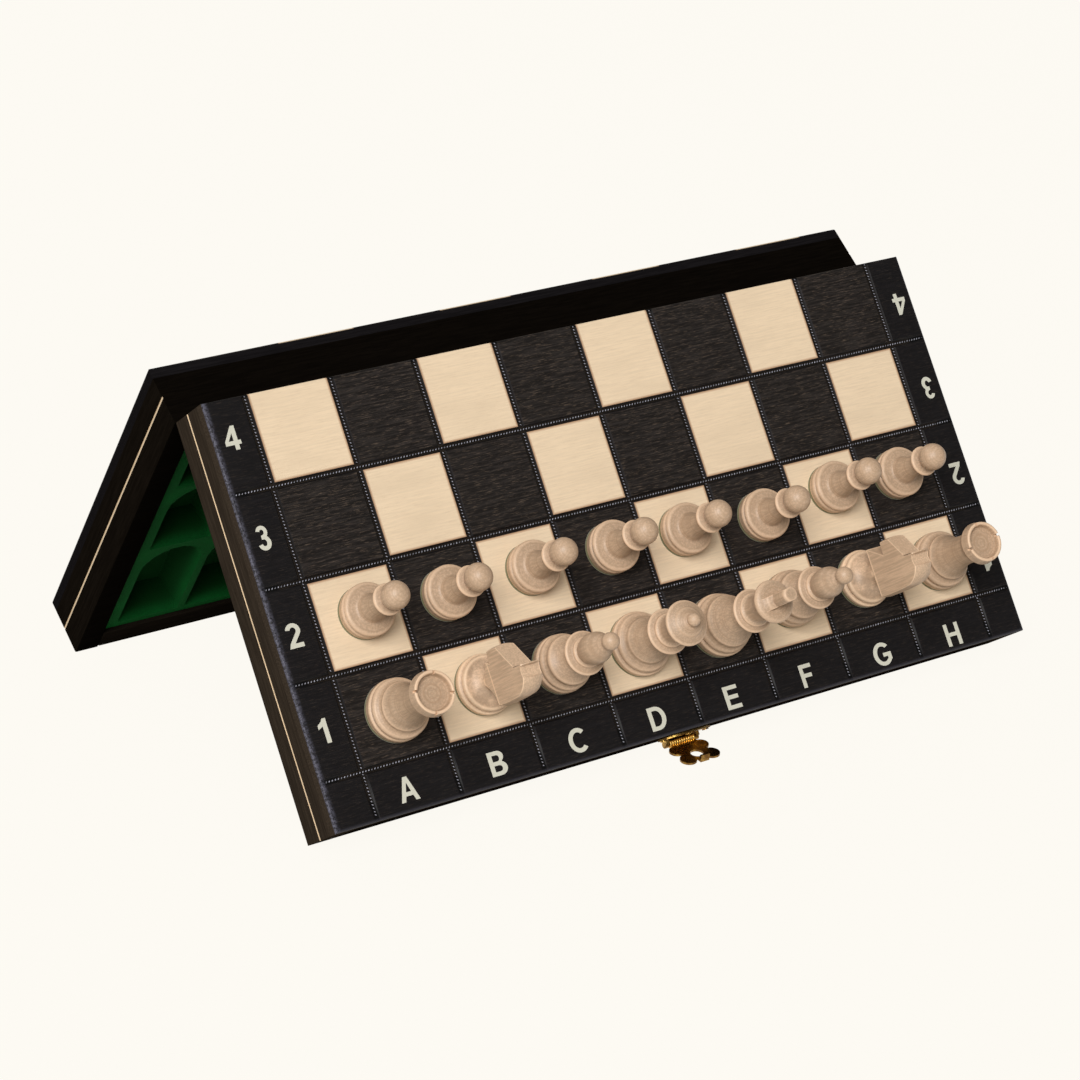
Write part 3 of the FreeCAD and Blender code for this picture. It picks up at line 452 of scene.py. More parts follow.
def panel_material(half, sizes, colours):
    """Veneered panel: pale squares with scorched edges, stained squares and border, brown sides on the front half
    and black ones as painted shade on the back half, and a painted sheen on the rounded edges.
    """
    material, g, shader = new_material(half + "_panel_veneer")
    place = g.board_place(half)
    across, up, out = g.parts(place)
    side = sizes.square / MM
    file_line = g.plus(g.math("DIVIDE", across, side), FILES / 2)
    first_rank = (PANEL_LOW[1] + sizes.outer_border) / MM
    rank_line = g.math("DIVIDE", g.minus(up, first_rank), side)
    inside = g.times(g.math("COMPARE", file_line, FILES / 2, FILES / 2),
                     g.math("COMPARE", rank_line, RANKS / 2, RANKS / 2))
    count = g.plus(g.math("FLOOR", file_line), g.math("FLOOR", rank_line))
    odd = g.math("PINGPONG", count, 1.0)
    file_edge = g.math("PINGPONG", file_line, 0.5)
    # The last rank has no line at the fold, so its far edge counts as further away
    last_rank = g.math("MAXIMUM", g.minus(rank_line, RANKS - 0.5), 0.0)
    rank_edge = g.plus(g.math("PINGPONG", rank_line, 0.5), g.times(last_rank, 2.0))
    edge = g.times(g.math("MINIMUM", file_edge, rank_edge), side)
    half_line = sizes.line_half_width / MM
    pale = g.times(g.times(odd, inside), g.ramp(edge, half_line - 0.12, half_line + 0.1))
    scorch = g.ramp(edge, half_line, half_line + 0.9, 0.7, 0.0)
    streaks, pores, clouds, height = g.grain(place)
    bare = g.blend(g.ramp(streaks, 0.36, 0.68), tint(colours.pale_square, 1.02),
                   tint(colours.pale_square, 0.92))
    bare = g.blend(g.ramp(clouds, 0.45, 0.7, 0.0, 0.5), bare, tint(colours.pale_square, 0.88))
    bare = g.blend(g.times(pores, 0.11), bare, tint(colours.scorch))
    bare = g.blend(scorch, bare, tint(colours.scorch))
    stained = g.blend(g.ramp(streaks, 0.42, 0.62), tint(colours.dark_square, 0.6),
                      tint(colours.dark_square, 1.5))
    stained = g.blend(g.times(pores, 0.7), stained, tint(colours.fleck))
    edging = g.blend(g.ramp(streaks, 0.4, 0.65), tint(colours.border, 0.8), tint(colours.border, 1.15))
    edging = g.blend(g.times(pores, 0.16), edging, tint(colours.fleck))
    dark = g.blend(g.times(inside, g.ramp(edge, half_line - 0.3, half_line + 0.2)), edging, stained)
    # The lines run on through the borders, and are blackest in their grooves
    on_files = g.times(g.ramp(g.times(file_edge, side), 0.7, 1.0, 1.0, 0.0),
                       g.math("COMPARE", file_line, FILES / 2, FILES / 2 + 0.04))
    on_ranks = g.times(g.ramp(g.times(rank_edge, side), 0.7, 1.0, 1.0, 0.0),
                       g.math("COMPARE", rank_line, RANKS / 2 - 0.5, RANKS / 2 - 0.46))
    groove = g.math("MAXIMUM", on_files, on_ranks)
    dark = g.blend(g.times(groove, 0.85), dark, tint(colours.border, 0.15))
    face = g.blend(pale, dark, bare)
    # The back half's sides are border black instead of rail brown: painted shade, as on its end rails
    flank_tone = colours.rail if half == "front" else colours.border
    flank = g.blend(g.ramp(streaks, 0.4, 0.65), tint(flank_tone, 0.8), tint(flank_tone, 1.25))
    top = PANEL_HIGH[2] / MM
    round_over = sizes.edge_round / MM
    above = g.ramp(out, top - round_over, top - round_over * 0.5)
    colour = g.blend(above, flank, face)
    # Painted sheen: the rounded edge is coloured grey as if lit along the left end of each half, and a little at
    # its other edges
    speckle = g.ramp(g.noise(place, 1.3, 4.0, 0.8), 0.4, 0.6)
    at_left = g.ramp(g.minus(across, PANEL_LOW[0] / MM), 0.2, 2.2, 0.85, 0.0)
    at_right = g.ramp(g.minus(PANEL_HIGH[0] / MM, across), 0.2, 1.2, 0.15, 0.0)
    at_outer = g.ramp(g.minus(up, PANEL_LOW[1] / MM), 0.2, 1.2, 0.2, 0.0)
    near = g.plus(g.times(at_left, g.plus(speckle, 0.1)), g.plus(at_right, at_outer), clamp=True)
    # The painted sheen lies on the rounding, off the pale squares
    painted_highlight = g.times(above, g.times(near, g.minus(1.0, pale)))
    colour = g.blend(painted_highlight, colour, tint(colours.painted_edge_sheen))
    rough = g.blend(pale, (0.4,) * 3, (0.55,) * 3)
    finish_shader(g, shader, {
        "Base Color": colour, "Roughness": g.plus(rough, g.times(streaks, 0.12)),
        "Specular IOR Level": g.times(above, g.plus(g.times(pale, 0.12), 0.16)),
        "Normal": g.bumped(height, 0.3, 0.06 * MM)})
    return material


def rail_material(half, colours, along_up, painted_shade, name):
    """Black-brown stained wood with its grain along the rail, darkened by a share that is painted shade."""
    material, g, shader = new_material(half + "_" + name)
    place = g.board_place(half)
    if along_up:
        place = g.mapped(place, rotation=(0, 0, math.pi / 2))
    streaks, pores, clouds, height = g.grain(place)
    # The share darkens the one rail stain as painted shade
    tone = tint(colours.rail, painted_shade)
    colour = g.blend(g.ramp(streaks, 0.35, 0.7), tint(tone, 0.6), tone)
    colour = g.blend(g.times(pores, 0.4), colour, tint(tone, 0.25))
    colour = g.blend(g.ramp(clouds, 0.5, 0.75, 0.0, 0.35), colour, tint(tone, 0.5))
    finish_shader(g, shader, {
        "Base Color": colour, "Roughness": g.plus(g.times(streaks, 0.2), 0.42),
        "Specular IOR Level": 0.0, "Normal": g.bumped(height, 0.4, 0.1 * MM)})
    return material


def bare_line_material(half, colours):
    """Unstained wood inside the cut line."""
    material, g, shader = new_material(half + "_bare_line")
    streaks = g.grain(g.mapped(g.board_place(half), rotation=(0, 0, math.pi / 2)))["Streaks"]
    colour = g.blend(streaks, tint(colours.bare_line, 0.85), tint(colours.bare_line))
    finish_shader(g, shader, {"Base Color": colour, "Roughness": 0.6, "Specular IOR Level": 0.3})
    return material


def bead_material(half, sizes, colours):
    """Pressed line: black low down, with a painted grey highlight on the crests, spread unevenly."""
    material, g, shader = new_material(half + "_pressed_line")
    place = g.board_place(half)
    mottle = g.noise(place, 0.9, 3.0)
    colour = g.blend(mottle, tint(colours.border, 0.3), tint(colours.border, 0.9))
    top = PANEL_HIGH[2] / MM
    depth = sizes.line_depth / MM
    # The crests take a painted highlight, lighter where higher and patchy by the mottle
    crest = g.ramp(g.parts(place)[2], top - 0.3 * depth, top - 0.1 * depth)
    painted_highlight = g.times(crest, g.ramp(mottle, 0.32, 0.62, 0.25, 1.0))
    colour = g.blend(painted_highlight, colour, tint(colours.bead_highlight))
    finish_shader(g, shader, {"Base Color": colour, "Roughness": g.ramp(mottle, 0.3, 0.7, 0.28, 0.42),
                              "Specular IOR Level": 0.5})
    return material


def print_material(colours):
    """Printed letters, slightly worn by the grain below."""
    material, g, shader = new_material("printed_letters")
    wear = g.noise(g.place(), 2600.0, 4.0, 0.7)
    colour = g.blend(g.ramp(wear, 0.5, 0.8, 0.0, 0.35), tint(colours.print_ink),
                     tint(colours.print_ink, 0.55))
    finish_shader(g, shader, {"Base Color": colour, "Roughness": g.ramp(wear, 0.3, 0.7, 0.4, 0.6),
                              "Normal": g.bumped(wear, 0.2, 0.03 * MM)})
    return material


def men_material(name, colours, rings):
    """Pale wood: grain along the men's axis, fine turning rings about it, and edges paler partly from rubbing and
    partly as painted highlight. Rings is the strength of the turning rings; where they are weak the wood is sawn,
    its tone is lifted as painted light for faces that lie in shade, and its flare gets darker grey patches."""
    material, g, shader = new_material(name)
    place = g.board_place("front")
    streaks, pores, clouds, height = g.grain(g.mapped(place, rotation=(0, math.pi / 2, 0)))
    across, up, out = g.away(place, g.attribute("turning_axis", "Vector"))
    section = g.node("ShaderNodeCombineXYZ", {0: g.reach(across, up), 1: out}).outputs[0]
    turning = g.noise(section, 1.6, 3.0, 0.75)
    # A low rings value lifts the tone: painted light that brightens the knights' sawn faces, which lie in shade
    tone = tint(colours.men, 1.26 - 0.26 * rings)
    brown = tuple(c * share for c, share in zip(tone, (0.70, 0.64, 0.58)))
    colour = g.blend(g.ramp(streaks, 0.38, 0.64), tint(tone, 0.76), tone)
    colour = g.blend(g.times(pores, 0.4), colour, brown)
    colour = g.blend(g.ramp(turning, 0.44, 0.64, 0.0, 0.62 * rings), colour, brown)
    colour = g.blend(g.ramp(clouds, 0.5, 0.7, 0.0, 0.3), colour, brown)
    # The flare below a sawn head gets darker grey patches
    flare = g.times(g.ramp(out, 3.6, 5.0), g.ramp(out, 8.0, 11.5, 1.0, 0.0))
    flare_patches = g.times(flare, g.ramp(g.noise(place, 0.16, 3.0), 0.46, 0.62, 0.0, 0.6 - 0.6 * rings))
    colour = g.blend(flare_patches, colour, tint(tone, 0.38))
    # Edges paler partly from rubbing and partly as painted highlight
    rub_and_highlight = g.times(g.attribute("rubbed_edge_and_highlight", "Fac"), 0.8, clamp=True)
    colour = g.blend(rub_and_highlight, colour, tint(tone, 1.5))
    relief = g.plus(g.times(turning, 1.2 * rings), height)
    finish_shader(g, shader, {
        "Base Color": colour, "Roughness": g.plus(g.times(streaks, 0.2), 0.34),
        "Specular IOR Level": 0.5, "Normal": g.bumped(relief, 0.4, 0.07 * MM)})
    return material


def felt_material(colours):
    """Short felt."""
    material, g, shader = new_material("felt")
    fibres = g.noise(g.place(), 3200.0, 4.0, 0.7)
    colour = g.blend(fibres, tint(colours.felt, 0.55), tint(colours.felt))
    finish_shader(g, shader, {"Base Color": colour, "Roughness": 0.95, "Sheen Weight": 0.4,
                              "Normal": g.bumped(fibres, 0.5, 0.15 * MM)})
    return material


def flock_material(half, colours):
    """Flocked moulding: deep green on top, with painted shade making it nearly black down in the pockets."""
    material, g, shader = new_material(half + "_green_flock")
    place = g.board_place(half)
    fibres = g.noise(place, 2.6, 4.0, 0.75)
    patches = g.noise(place, 0.06, 2.0)
    colour = g.blend(g.ramp(fibres, 0.35, 0.7), tint(colours.flock, 0.6), tint(colours.flock))
    colour = g.blend(g.ramp(patches, 0.45, 0.7, 0.0, 0.35), colour, tint(colours.flock, 1.5))
    depth = g.minus(g.parts(place)[2], TRAY_LOW[2] / MM)
    # Painted shade: the flock darkens towards the floors of the pockets
    colour = g.blend(g.ramp(depth, 0.4, 5.0), colour, tint(colours.pocket_shade))
    finish_shader(g, shader, {"Base Color": colour, "Roughness": 0.95, "Specular IOR Level": 0.1,
                              "Sheen Weight": 0.2, "Sheen Tint": tint(colours.flock, 4),
                              "Normal": g.bumped(fibres, 0.6, 0.2 * MM)})
    return material


def brass_material(name, colours, wear):
    """Aged brass: bright where rubbed, brown in the low places. Wear is the share that is rubbed bright, or a
    place on the hasp's axis, around which the barrel is bright."""
    material, g, shader = new_material(name)
    place = g.place()
    skin = g.noise(place, 420.0, 5.0, 0.65)
    fine = g.noise(place, 2400.0, 3.0)
    if isinstance(wear, float):
        brown = g.ramp(skin, wear - 0.13, wear + 0.13)
    else:
        _, y, z = g.away(place, wear)
        off_barrel = g.ramp(g.reach(y, z), 1.6 * MM, 2.2 * MM)
        brown = g.times(off_barrel, g.ramp(skin, 0.2, 0.55))
    colour = g.blend(brown, tint(colours.brass), tint(colours.tarnish))
    finish_shader(g, shader, {"Base Color": colour, "Metallic": 1.0,
                              "Roughness": g.ramp(skin, 0.3, 0.7, 0.22, 0.45),
                              "Normal": g.bumped(fine, 0.15, 0.05 * MM)})
    return material


def steel_material(colours):
    """Plain rolled sheet."""
    material, g, shader = new_material("rolled_steel")
    brushed = g.noise(g.mapped(g.place(), scale=(40.0, 1200.0, 1200.0)), 1.0, 3.0)
    colour = g.blend(brushed, tint(colours.steel, 0.8), tint(colours.steel))
    finish_shader(g, shader, {"Base Color": colour, "Metallic": 1.0,
                              "Roughness": g.ramp(brushed, 0.3, 0.7, 0.3, 0.45)})
    return material


# Surfaces
def grid_quads(rows, columns, wrap=False):
    """Corner numbers of a grid's quads, points numbered by rows; wrap joins the last column to the first."""
    row = np.arange(rows - 1)[:, None]
    column = np.arange(columns if wrap else columns - 1)[None, :]
    after = (column + 1) % columns
    corners = [row * columns + column, row * columns + after, (row + 1) * columns + after,
               (row + 1) * columns + column]
    return np.stack(np.broadcast_arrays(*corners), axis=-1).reshape(-1, 4)


def grid_rim(rows, columns):
    """Numbers of a grid's outer points, once round."""
    number = np.arange(rows * columns).reshape(rows, columns)
    return np.concatenate([number[0, :-1], number[:-1, -1], number[-1, :0:-1], number[:0:-1, 0]])


def loop_quads(loops):
    """Quads between neighbouring closed loops of point numbers, one loop to a row."""
    first, second = loops[:-1], loops[1:]
    corners = [first, second, np.roll(second, -1, axis=1), np.roll(first, -1, axis=1)]
    return np.stack(corners, axis=-1).reshape(-1, 4)


def make_piece(name, points, faces, materials, body, replaces=(), sharp_deg=38, face_slots=None):
    """New piece from points and faces in the row frame, riding on a body and standing for CAD nodes."""
    mesh = bpy.data.meshes.new(name)
    mesh.from_pydata(np.asarray(points).reshape(-1, 3).tolist(), [], faces)
    for material in materials:
        mesh.materials.append(material)
    if face_slots is not None:
        mesh.polygons.foreach_set("material_index", face_slots)
    mesh.polygons.foreach_set("use_smooth", np.ones(len(mesh.polygons), bool))
    mesh.set_sharp_from_angle(angle=math.radians(sharp_deg))
    piece = bpy.data.objects.new(name, mesh)
    bpy.context.scene.collection.objects.link(piece)
    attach(piece, body)
    if replaces:
        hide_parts(*replaces)
    return piece


def dress(nodes, material):
    """Gives CAD nodes that keep their own shape a finished material."""
    for node in nodes:
        slots = frame["nodes"][node].data.materials
        slots.clear()
        slots.append(material)


def smooth_step(value, low, high):
    """Smooth rise from 0 at low to 1 at high."""
    t = np.clip((value - low) / (high - low), 0, 1)
    return t * t * (3 - 2 * t)


def line_places(sizes):
    """Places of the pressed lines: across for the file lines, up the board for the rank lines."""
    file_lines = (np.arange(FILES + 1) - FILES / 2) * sizes.square
    rank_lines = PANEL_LOW[1] + sizes.outer_border + np.arange(RANKS) * sizes.square
    return file_lines, rank_lines


def stations(low, high, lines, reach, step):
    """Grid stations from low to high: even steps, with close ones over each line."""
    across_line = np.array([-1.15, -1.0, -0.82, -0.6, -0.3, 0, 0.3, 0.6, 0.82, 1.0, 1.15]) * reach
    close = (lines[:, None] + across_line[None, :]).ravel()
    even = np.linspace(low, high, int((high - low) / step))
    even = even[np.min(np.abs(even[:, None] - lines[None, :]), axis=1) > 1.4 * reach]
    every = np.concatenate([[low, high], close, even])
    return np.unique(np.round(every[(every >= low) & (every <= high)], 7))


def panel_surface(half, sizes):
    """Playing panel: a level grid, lowered along each line by a smooth trough, whose outline is then carried
    out and down over a quarter round and a straight side, and closed below."""
    low, high = PANEL_LOW, PANEL_HIGH
    r = sizes.edge_round
    reach = sizes.line_half_width
    plain_step = 6 * MM
    file_lines, rank_lines = line_places(sizes)
    across = stations(low[0] + r, high[0] - r, file_lines, reach, plain_step)
    up = stations(low[1] + r, high[1] - r, rank_lines, reach, plain_step)
    x, y = np.meshgrid(across, up)
    to_file = np.min(np.abs(x[..., None] - file_lines), axis=-1)
    to_rank = np.min(np.abs(y[..., None] - rank_lines), axis=-1)
    file_trough = smooth_step(to_file, reach, 0.6 * reach) * smooth_step(y, low[1] + r, low[1] + 1.6 * r)
    rank_trough = smooth_step(to_rank, reach, 0.6 * reach)
    rank_trough *= smooth_step(np.abs(x), high[0] - r, high[0] - 1.6 * r)
    z = high[2] - sizes.line_depth * np.maximum(file_trough, rank_trough)
    level = np.stack([x, y, z], axis=-1).reshape(-1, 3)
    rim = grid_rim(*x.shape)
    outline = level[rim]
    from_middle = outline[:, :2] - (low + high)[:2] / 2
    outward = np.sign(from_middle) * (np.abs(from_middle) >= (high - low)[:2] / 2 - r - 1e-6)
    angle = np.linspace(0, math.pi / 2, 7)[1:]
    out = np.append(r * np.sin(angle), r)
    down = np.append(r * (1 - np.cos(angle)), high[2] - low[2])
    rings = np.repeat(outline[None], len(out), axis=0)
    rings[..., :2] += out[:, None, None] * outward[None]
    rings[..., 2] = high[2] - down[:, None]
    loops = np.concatenate([rim, len(level) + np.arange(len(out) * len(rim))]).reshape(-1, len(rim))
    faces = grid_quads(*x.shape).tolist() + loop_quads(loops).tolist() + [loops[-1][::-1].tolist()]
    return to_row(half, np.concatenate([level, rings.reshape(-1, 3)])), faces


def bead_surface(half, sizes):
    """Slanted beads along every line: half an ellipsoid from rings of points, copied to each bead's place."""
    file_lines, rank_lines = line_places(sizes)
    pitch, depth = sizes.bead_pitch, sizes.line_depth
    low, high = PANEL_LOW, PANEL_HIGH
    inset = 1.3 * sizes.edge_round
    along = np.arange(low[0] + inset, high[0] - inset, pitch)
    rank_beads = np.stack(np.broadcast_arrays(along[None, :], rank_lines[:, None]), axis=-1).reshape(-1, 2)
    along = np.arange(low[1] + inset, high[1] - 0.6 * sizes.edge_round, pitch)
    along = along[np.min(np.abs(along[:, None] - rank_lines), axis=1) > 0.7 * pitch]
    file_beads = np.stack(np.broadcast_arrays(file_lines[None, :], along[:, None]), axis=-1).reshape(-1, 2)
    centres = np.concatenate([rank_beads, file_beads])
    turn = np.repeat([0, math.pi / 2], [len(rank_beads), len(file_beads)]) + math.radians(BEAD_SLANT_DEG)
    side = np.arange(BEAD_SIDES)
    rise, around = np.meshgrid(np.radians(BEAD_RISE_DEG), side * 2 * math.pi / BEAD_SIDES, indexing="ij")
    ring = np.stack([BEAD_LONG_SHARE * pitch * np.cos(rise) * np.cos(around),
                     BEAD_WIDE_SHARE * pitch * np.cos(rise) * np.sin(around),
                     BEAD_HIGH_SHARE * depth * np.sin(rise)], axis=-1).reshape(-1, 3)
    shape = np.concatenate([ring, [[0, 0, BEAD_HIGH_SHARE * depth]]])
    cos, sin = np.cos(turn)[:, None], np.sin(turn)[:, None]
    x = centres[:, :1] + cos * shape[:, 0] - sin * shape[:, 1]
    y = centres[:, 1:] + sin * shape[:, 0] + cos * shape[:, 1]
    z = np.broadcast_to(high[2] - depth + shape[:, 2], x.shape)
    start = np.arange(len(centres))[:, None, None] * len(shape)
    quads = (grid_quads(len(BEAD_RISE_DEG), BEAD_SIDES, wrap=True) + start).reshape(-1, 4)
    top = len(ring) - BEAD_SIDES + side
    caps = (np.stack([top, np.roll(top, -1), np.full(BEAD_SIDES, len(ring))], axis=-1) + start).reshape(-1, 3)
    bases = (side[::-1] + start[:, 0]).reshape(-1, BEAD_SIDES)
    points = np.stack([x, y, z], axis=-1).reshape(-1, 3)
    return to_row(half, points), quads.tolist() + caps.tolist() + bases.tolist()


def block_surface(low, high, radius, segments=3):
    """Rounded block: points on a plain block are drawn to the nearest point of an inner block and set at the
    radius from it, so every edge and corner is round."""
    half = (np.asarray(high) - low) / 2
    middle = (np.asarray(high) + low) / 2
    bend = radius * np.tan(np.linspace(0, math.pi / 4, segments + 1))
    points, faces = [], []
    count = 0
    for axis in range(3):
        first, second = (axis + 1) % 3, (axis + 2) % 3
        lines = [np.concatenate([radius - half[k] - bend[::-1], half[k] - radius + bend])
                 for k in (first, second)]
        a, b = np.meshgrid(*lines)
        for side in (-1, 1):
            sheet = np.empty(a.shape + (3,))
            sheet[..., axis] = side * half[axis]
            sheet[..., first] = side * a
            sheet[..., second] = b
            points.append(sheet.reshape(-1, 3))
            faces.append(grid_quads(*a.shape) + count)
            count += a.size
    points = np.concatenate(points)
    core = np.clip(points, radius - half, half - radius)
    away = points - core
    points = core + radius * away / np.linalg.norm(away, axis=1, keepdims=True)
    weld = 0.001 * MM
    unique, number = np.unique(np.round(points / weld).astype(int), axis=0, return_inverse=True)
    return unique * weld + middle, number.ravel()[np.concatenate(faces)].tolist()


def end_rail_surface(half, node, sizes):
    """End rail: a section with rounded rim corners and a square groove on its outer side, carried along the
    rail. The faces' slots are 0 for the rail, 1 for the groove and 2 for the rim and the end at the fold."""
    local = board_points(half, node)
    low, high = local.min(0), local.max(0)
    r = sizes.rail_round
    angle = np.linspace(0, math.pi / 2, 5)
    cos, sin = r * np.cos(angle), r * np.sin(angle)
    sign = -1 if abs(low[0]) > abs(high[0]) else 1
    wall, inside = (low[0], high[0]) if sign < 0 else (high[0], low[0])
    # The groove is in the middle of the one in the CAD node
    from_wall = np.abs(local[:, 0] - wall)
    recessed = local[(from_wall > 0.1 * MM) & (from_wall < 2 * MM), 2]
    middle = (recessed.min() + recessed.max()) / 2
    below, above = middle - sizes.bare_width / 2, middle + sizes.bare_width / 2
    floor = wall - sign * sizes.bare_depth
    across = np.concatenate([wall - sign * r + sign * sin, [wall, floor, floor, wall, wall, inside],
                             inside + sign * r - sign * sin[::-1]])
    out = np.concatenate([low[2] + r - cos, [below, below, above, above, high[2], high[2]],
                          low[2] + r - cos[::-1]])
    count = len(across)
    grid = np.empty((2, count, 3))
    grid[..., 0], grid[..., 2] = across, out
    grid[..., 1] = np.array([low[1], high[1]])[:, None]
    quads = grid_quads(2, count, wrap=True)
    caps = [list(range(count))[::-1], list(range(count, 2 * count))]
    if sign > 0:
        quads = quads[:, ::-1]
        caps = [cap[::-1] for cap in caps]
    slots = np.zeros(count + 2, np.int32)
    slots[len(sin) + np.arange(3)] = 1
    on_rim = np.abs(out - low[2]) < 0.6 * r
    slots[:count][on_rim & np.roll(on_rim, -1)] = 2
    slots[-1] = 2
    return to_row(half, grid.reshape(-1, 3)), quads.tolist() + caps, slots


def pocket_places():
    """Every pocket as (middle, width, base, length), in pairs from the ends of the tray inwards."""
    base = TRAY_LOW[1] + POCKET_END_MARGIN
    room = TRAY_HIGH[1] - TRAY_LOW[1] - 2 * POCKET_END_MARGIN
    pitch = POCKET_WIDTH + POCKET_WEB
    first = TRAY_HIGH[0] - POCKET_SIDE_MARGIN - POCKET_WIDTH / 2
    columns = [(first - k * pitch, POCKET_WIDTH, ROW_SHARES) for k in range(COLUMNS_EACH_SIDE)]
    columns.append((MIDDLE_PLACE, MIDDLE_WIDTH, MIDDLE_SHARES))
    places = []
    for centre, width, shares in columns:
        lengths = np.array(shares) * (room - POCKET_WEB * (len(shares) - 1))
        starts = base + np.concatenate([[0], np.cumsum(lengths + POCKET_WEB)[:-1]])
        places += [(side * centre, width, start, length) for start, length in zip(starts, lengths)
                   for side in (-1, 1)]
    return places


def tray_surface(half, sizes):
    """Moulded tray: the depth at a point rises smoothly with its distance inside the nearest pocket, a square
    with a round end, and the sheet's outline is carried up to a flat back."""
    low, high = TRAY_LOW, TRAY_HIGH
    x, y = np.meshgrid(*[np.linspace(low[k], high[k], int((high[k] - low[k]) / TRAY_STEP)) for k in (0, 1)])
    inside = np.full(x.shape, -1.0)
    for centre, width, base, length in pocket_places():
        radius = width / 2
        aside = np.abs(x - centre)
        along = y - base
        straight = np.minimum(radius - aside, along)
        arch = radius - np.hypot(aside, along - (length - radius))
        inside = np.maximum(inside, np.where(along > length - radius, arch, straight))
    depth = POCKET_DEPTH * smooth_step(inside, -0.25 * sizes.pocket_wall, sizes.pocket_wall)
    sheet = np.stack([x, y, low[2] + depth], axis=-1).reshape(-1, 3)
    rim = grid_rim(*x.shape)
    back = sheet[rim]
    back[:, 2] = high[2]
    ring = len(sheet) + np.arange(len(rim))
    skirt = loop_quads(np.stack([ring, rim]))
    faces = grid_quads(*x.shape)[:, ::-1].tolist() + skirt.tolist() + [ring.tolist()]
    return to_row(half, np.concatenate([sheet, back])), faces


def profile_line(shares, radius, height, step):
    """Radius and height along a profile at even steps, its corners eased by a short running mean."""
    last = np.array([shares[0][0] * radius, FELT_THICKNESS])
    runs = [last[None]]
    fine = 0.25 * step
    for share in shares[1:]:
        end = np.array([share[-2] * radius if len(share) > 1 else 0, share[-1] * height])
        if len(share) == 2:
            count = max(2, int(np.linalg.norm(end - last) / fine))
            runs.append(last + (end - last) * np.linspace(0, 1, count)[1:, None])
        else:
            via = np.array(share[:2]) * (radius, height) if len(share) == 4 else None
            runs.append(arc_points(last, via, end, fine))
        last = end
    line = np.concatenate(runs)
    run = np.concatenate([[0], np.cumsum(np.linalg.norm(np.diff(line, axis=0), axis=1))])
    even = np.linspace(0, run[-1], int(run[-1] / step))
    line = np.stack([np.interp(even, run, line[:, k]) for k in (0, 1)], axis=-1)
    eased = line.copy()
    eased[1:-1] = 0.25 * line[:-2] + 0.5 * line[1:-1] + 0.25 * line[2:]
    return eased


def arc_points(start, via, end, step):
    """Points after the first on the arc through three points, or without a middle one on the arc to the axis
    whose centre is on the axis."""
    if via is None:
        centre = np.array([0, (end[1] ** 2 - start[1] ** 2 - start[0] ** 2) / (2 * (end[1] - start[1]))])
    else:
        sides = 2 * np.array([via - start, end - start])
        squares = np.array([via @ via - start @ start, end @ end - start @ start])
        centre = np.linalg.solve(sides, squares)
    begin, finish = [math.atan2(*(p - centre)[::-1]) for p in (start, end)]
    turn = finish - begin
    if via is not None:
        turn %= 2 * math.pi
        if (math.atan2(*(via - centre)[::-1]) - begin) % (2 * math.pi) > turn:
            turn -= 2 * math.pi
    reach = np.linalg.norm(start - centre)
    angle = begin + turn * np.linspace(0, 1, max(6, int(abs(turn) * reach / step)))[1:]
    return centre + reach * np.stack([np.cos(angle), np.sin(angle)], axis=-1)


def edge_rub_and_highlight(line):
    """How sharply a profile turns outwards at each point, from 0 to 1, which is where hands rub it pale and where
    a painted highlight lies.
    """
    ahead = np.diff(line, axis=0)
    ahead /= np.linalg.norm(ahead, axis=1, keepdims=True) + 1e-12
    turn = np.zeros(len(line))
    turn[1:-1] = ahead[:-1, 0] * ahead[1:, 1] - ahead[:-1, 1] * ahead[1:, 0]
    spread = np.convolve(np.clip(turn, 0, 1), [0.25, 0.5, 0.25], mode="same")
    return np.clip(spread * 2.2, 0, 1)


def turned_surface(line, angle):
    """Surface of revolution of a profile line that ends on the axis, at given angles, with a flat foot."""
    body = line[:-1]
    rows, segments = len(body), len(angle)
    circles = np.broadcast_arrays(body[:, :1] * np.cos(angle), body[:, :1] * np.sin(angle), body[:, 1:])
    points = np.stack(circles, axis=-1).reshape(-1, 3)
    top = (rows - 1) * segments + np.arange(segments)
    tip = np.stack([top, np.roll(top, -1), np.full(segments, rows * segments)], axis=-1)
    faces = grid_quads(rows, segments, wrap=True).tolist() + [list(range(segments))[::-1]] + tip.tolist()
    return np.concatenate([points, [[0, 0, line[-1, 1]]]]), faces


def limited(value, limit, ease):
    """Value held to a limit, which it meets in a round of the given reach, and how far round it is."""
    over = np.clip((value - limit + ease) / (2 * ease), 0, 1)
    return np.where(value > limit + ease, limit, value - ease * over ** 2), over


def cut_rook(points, height):
    """Four narrow slots: the rim's points near a slot's plane are lowered to the slot's floor."""
    width, depth = ROOK_SLOT
    floor = height - depth
    off = np.minimum(np.abs(points[:, 0]), np.abs(points[:, 1]))
    keep = smooth_step(off, 0.42 * width, 0.56 * width)
    z = points[:, 2]
    points[:, 2] = np.where(z > floor, floor + (z - floor) * keep, z)


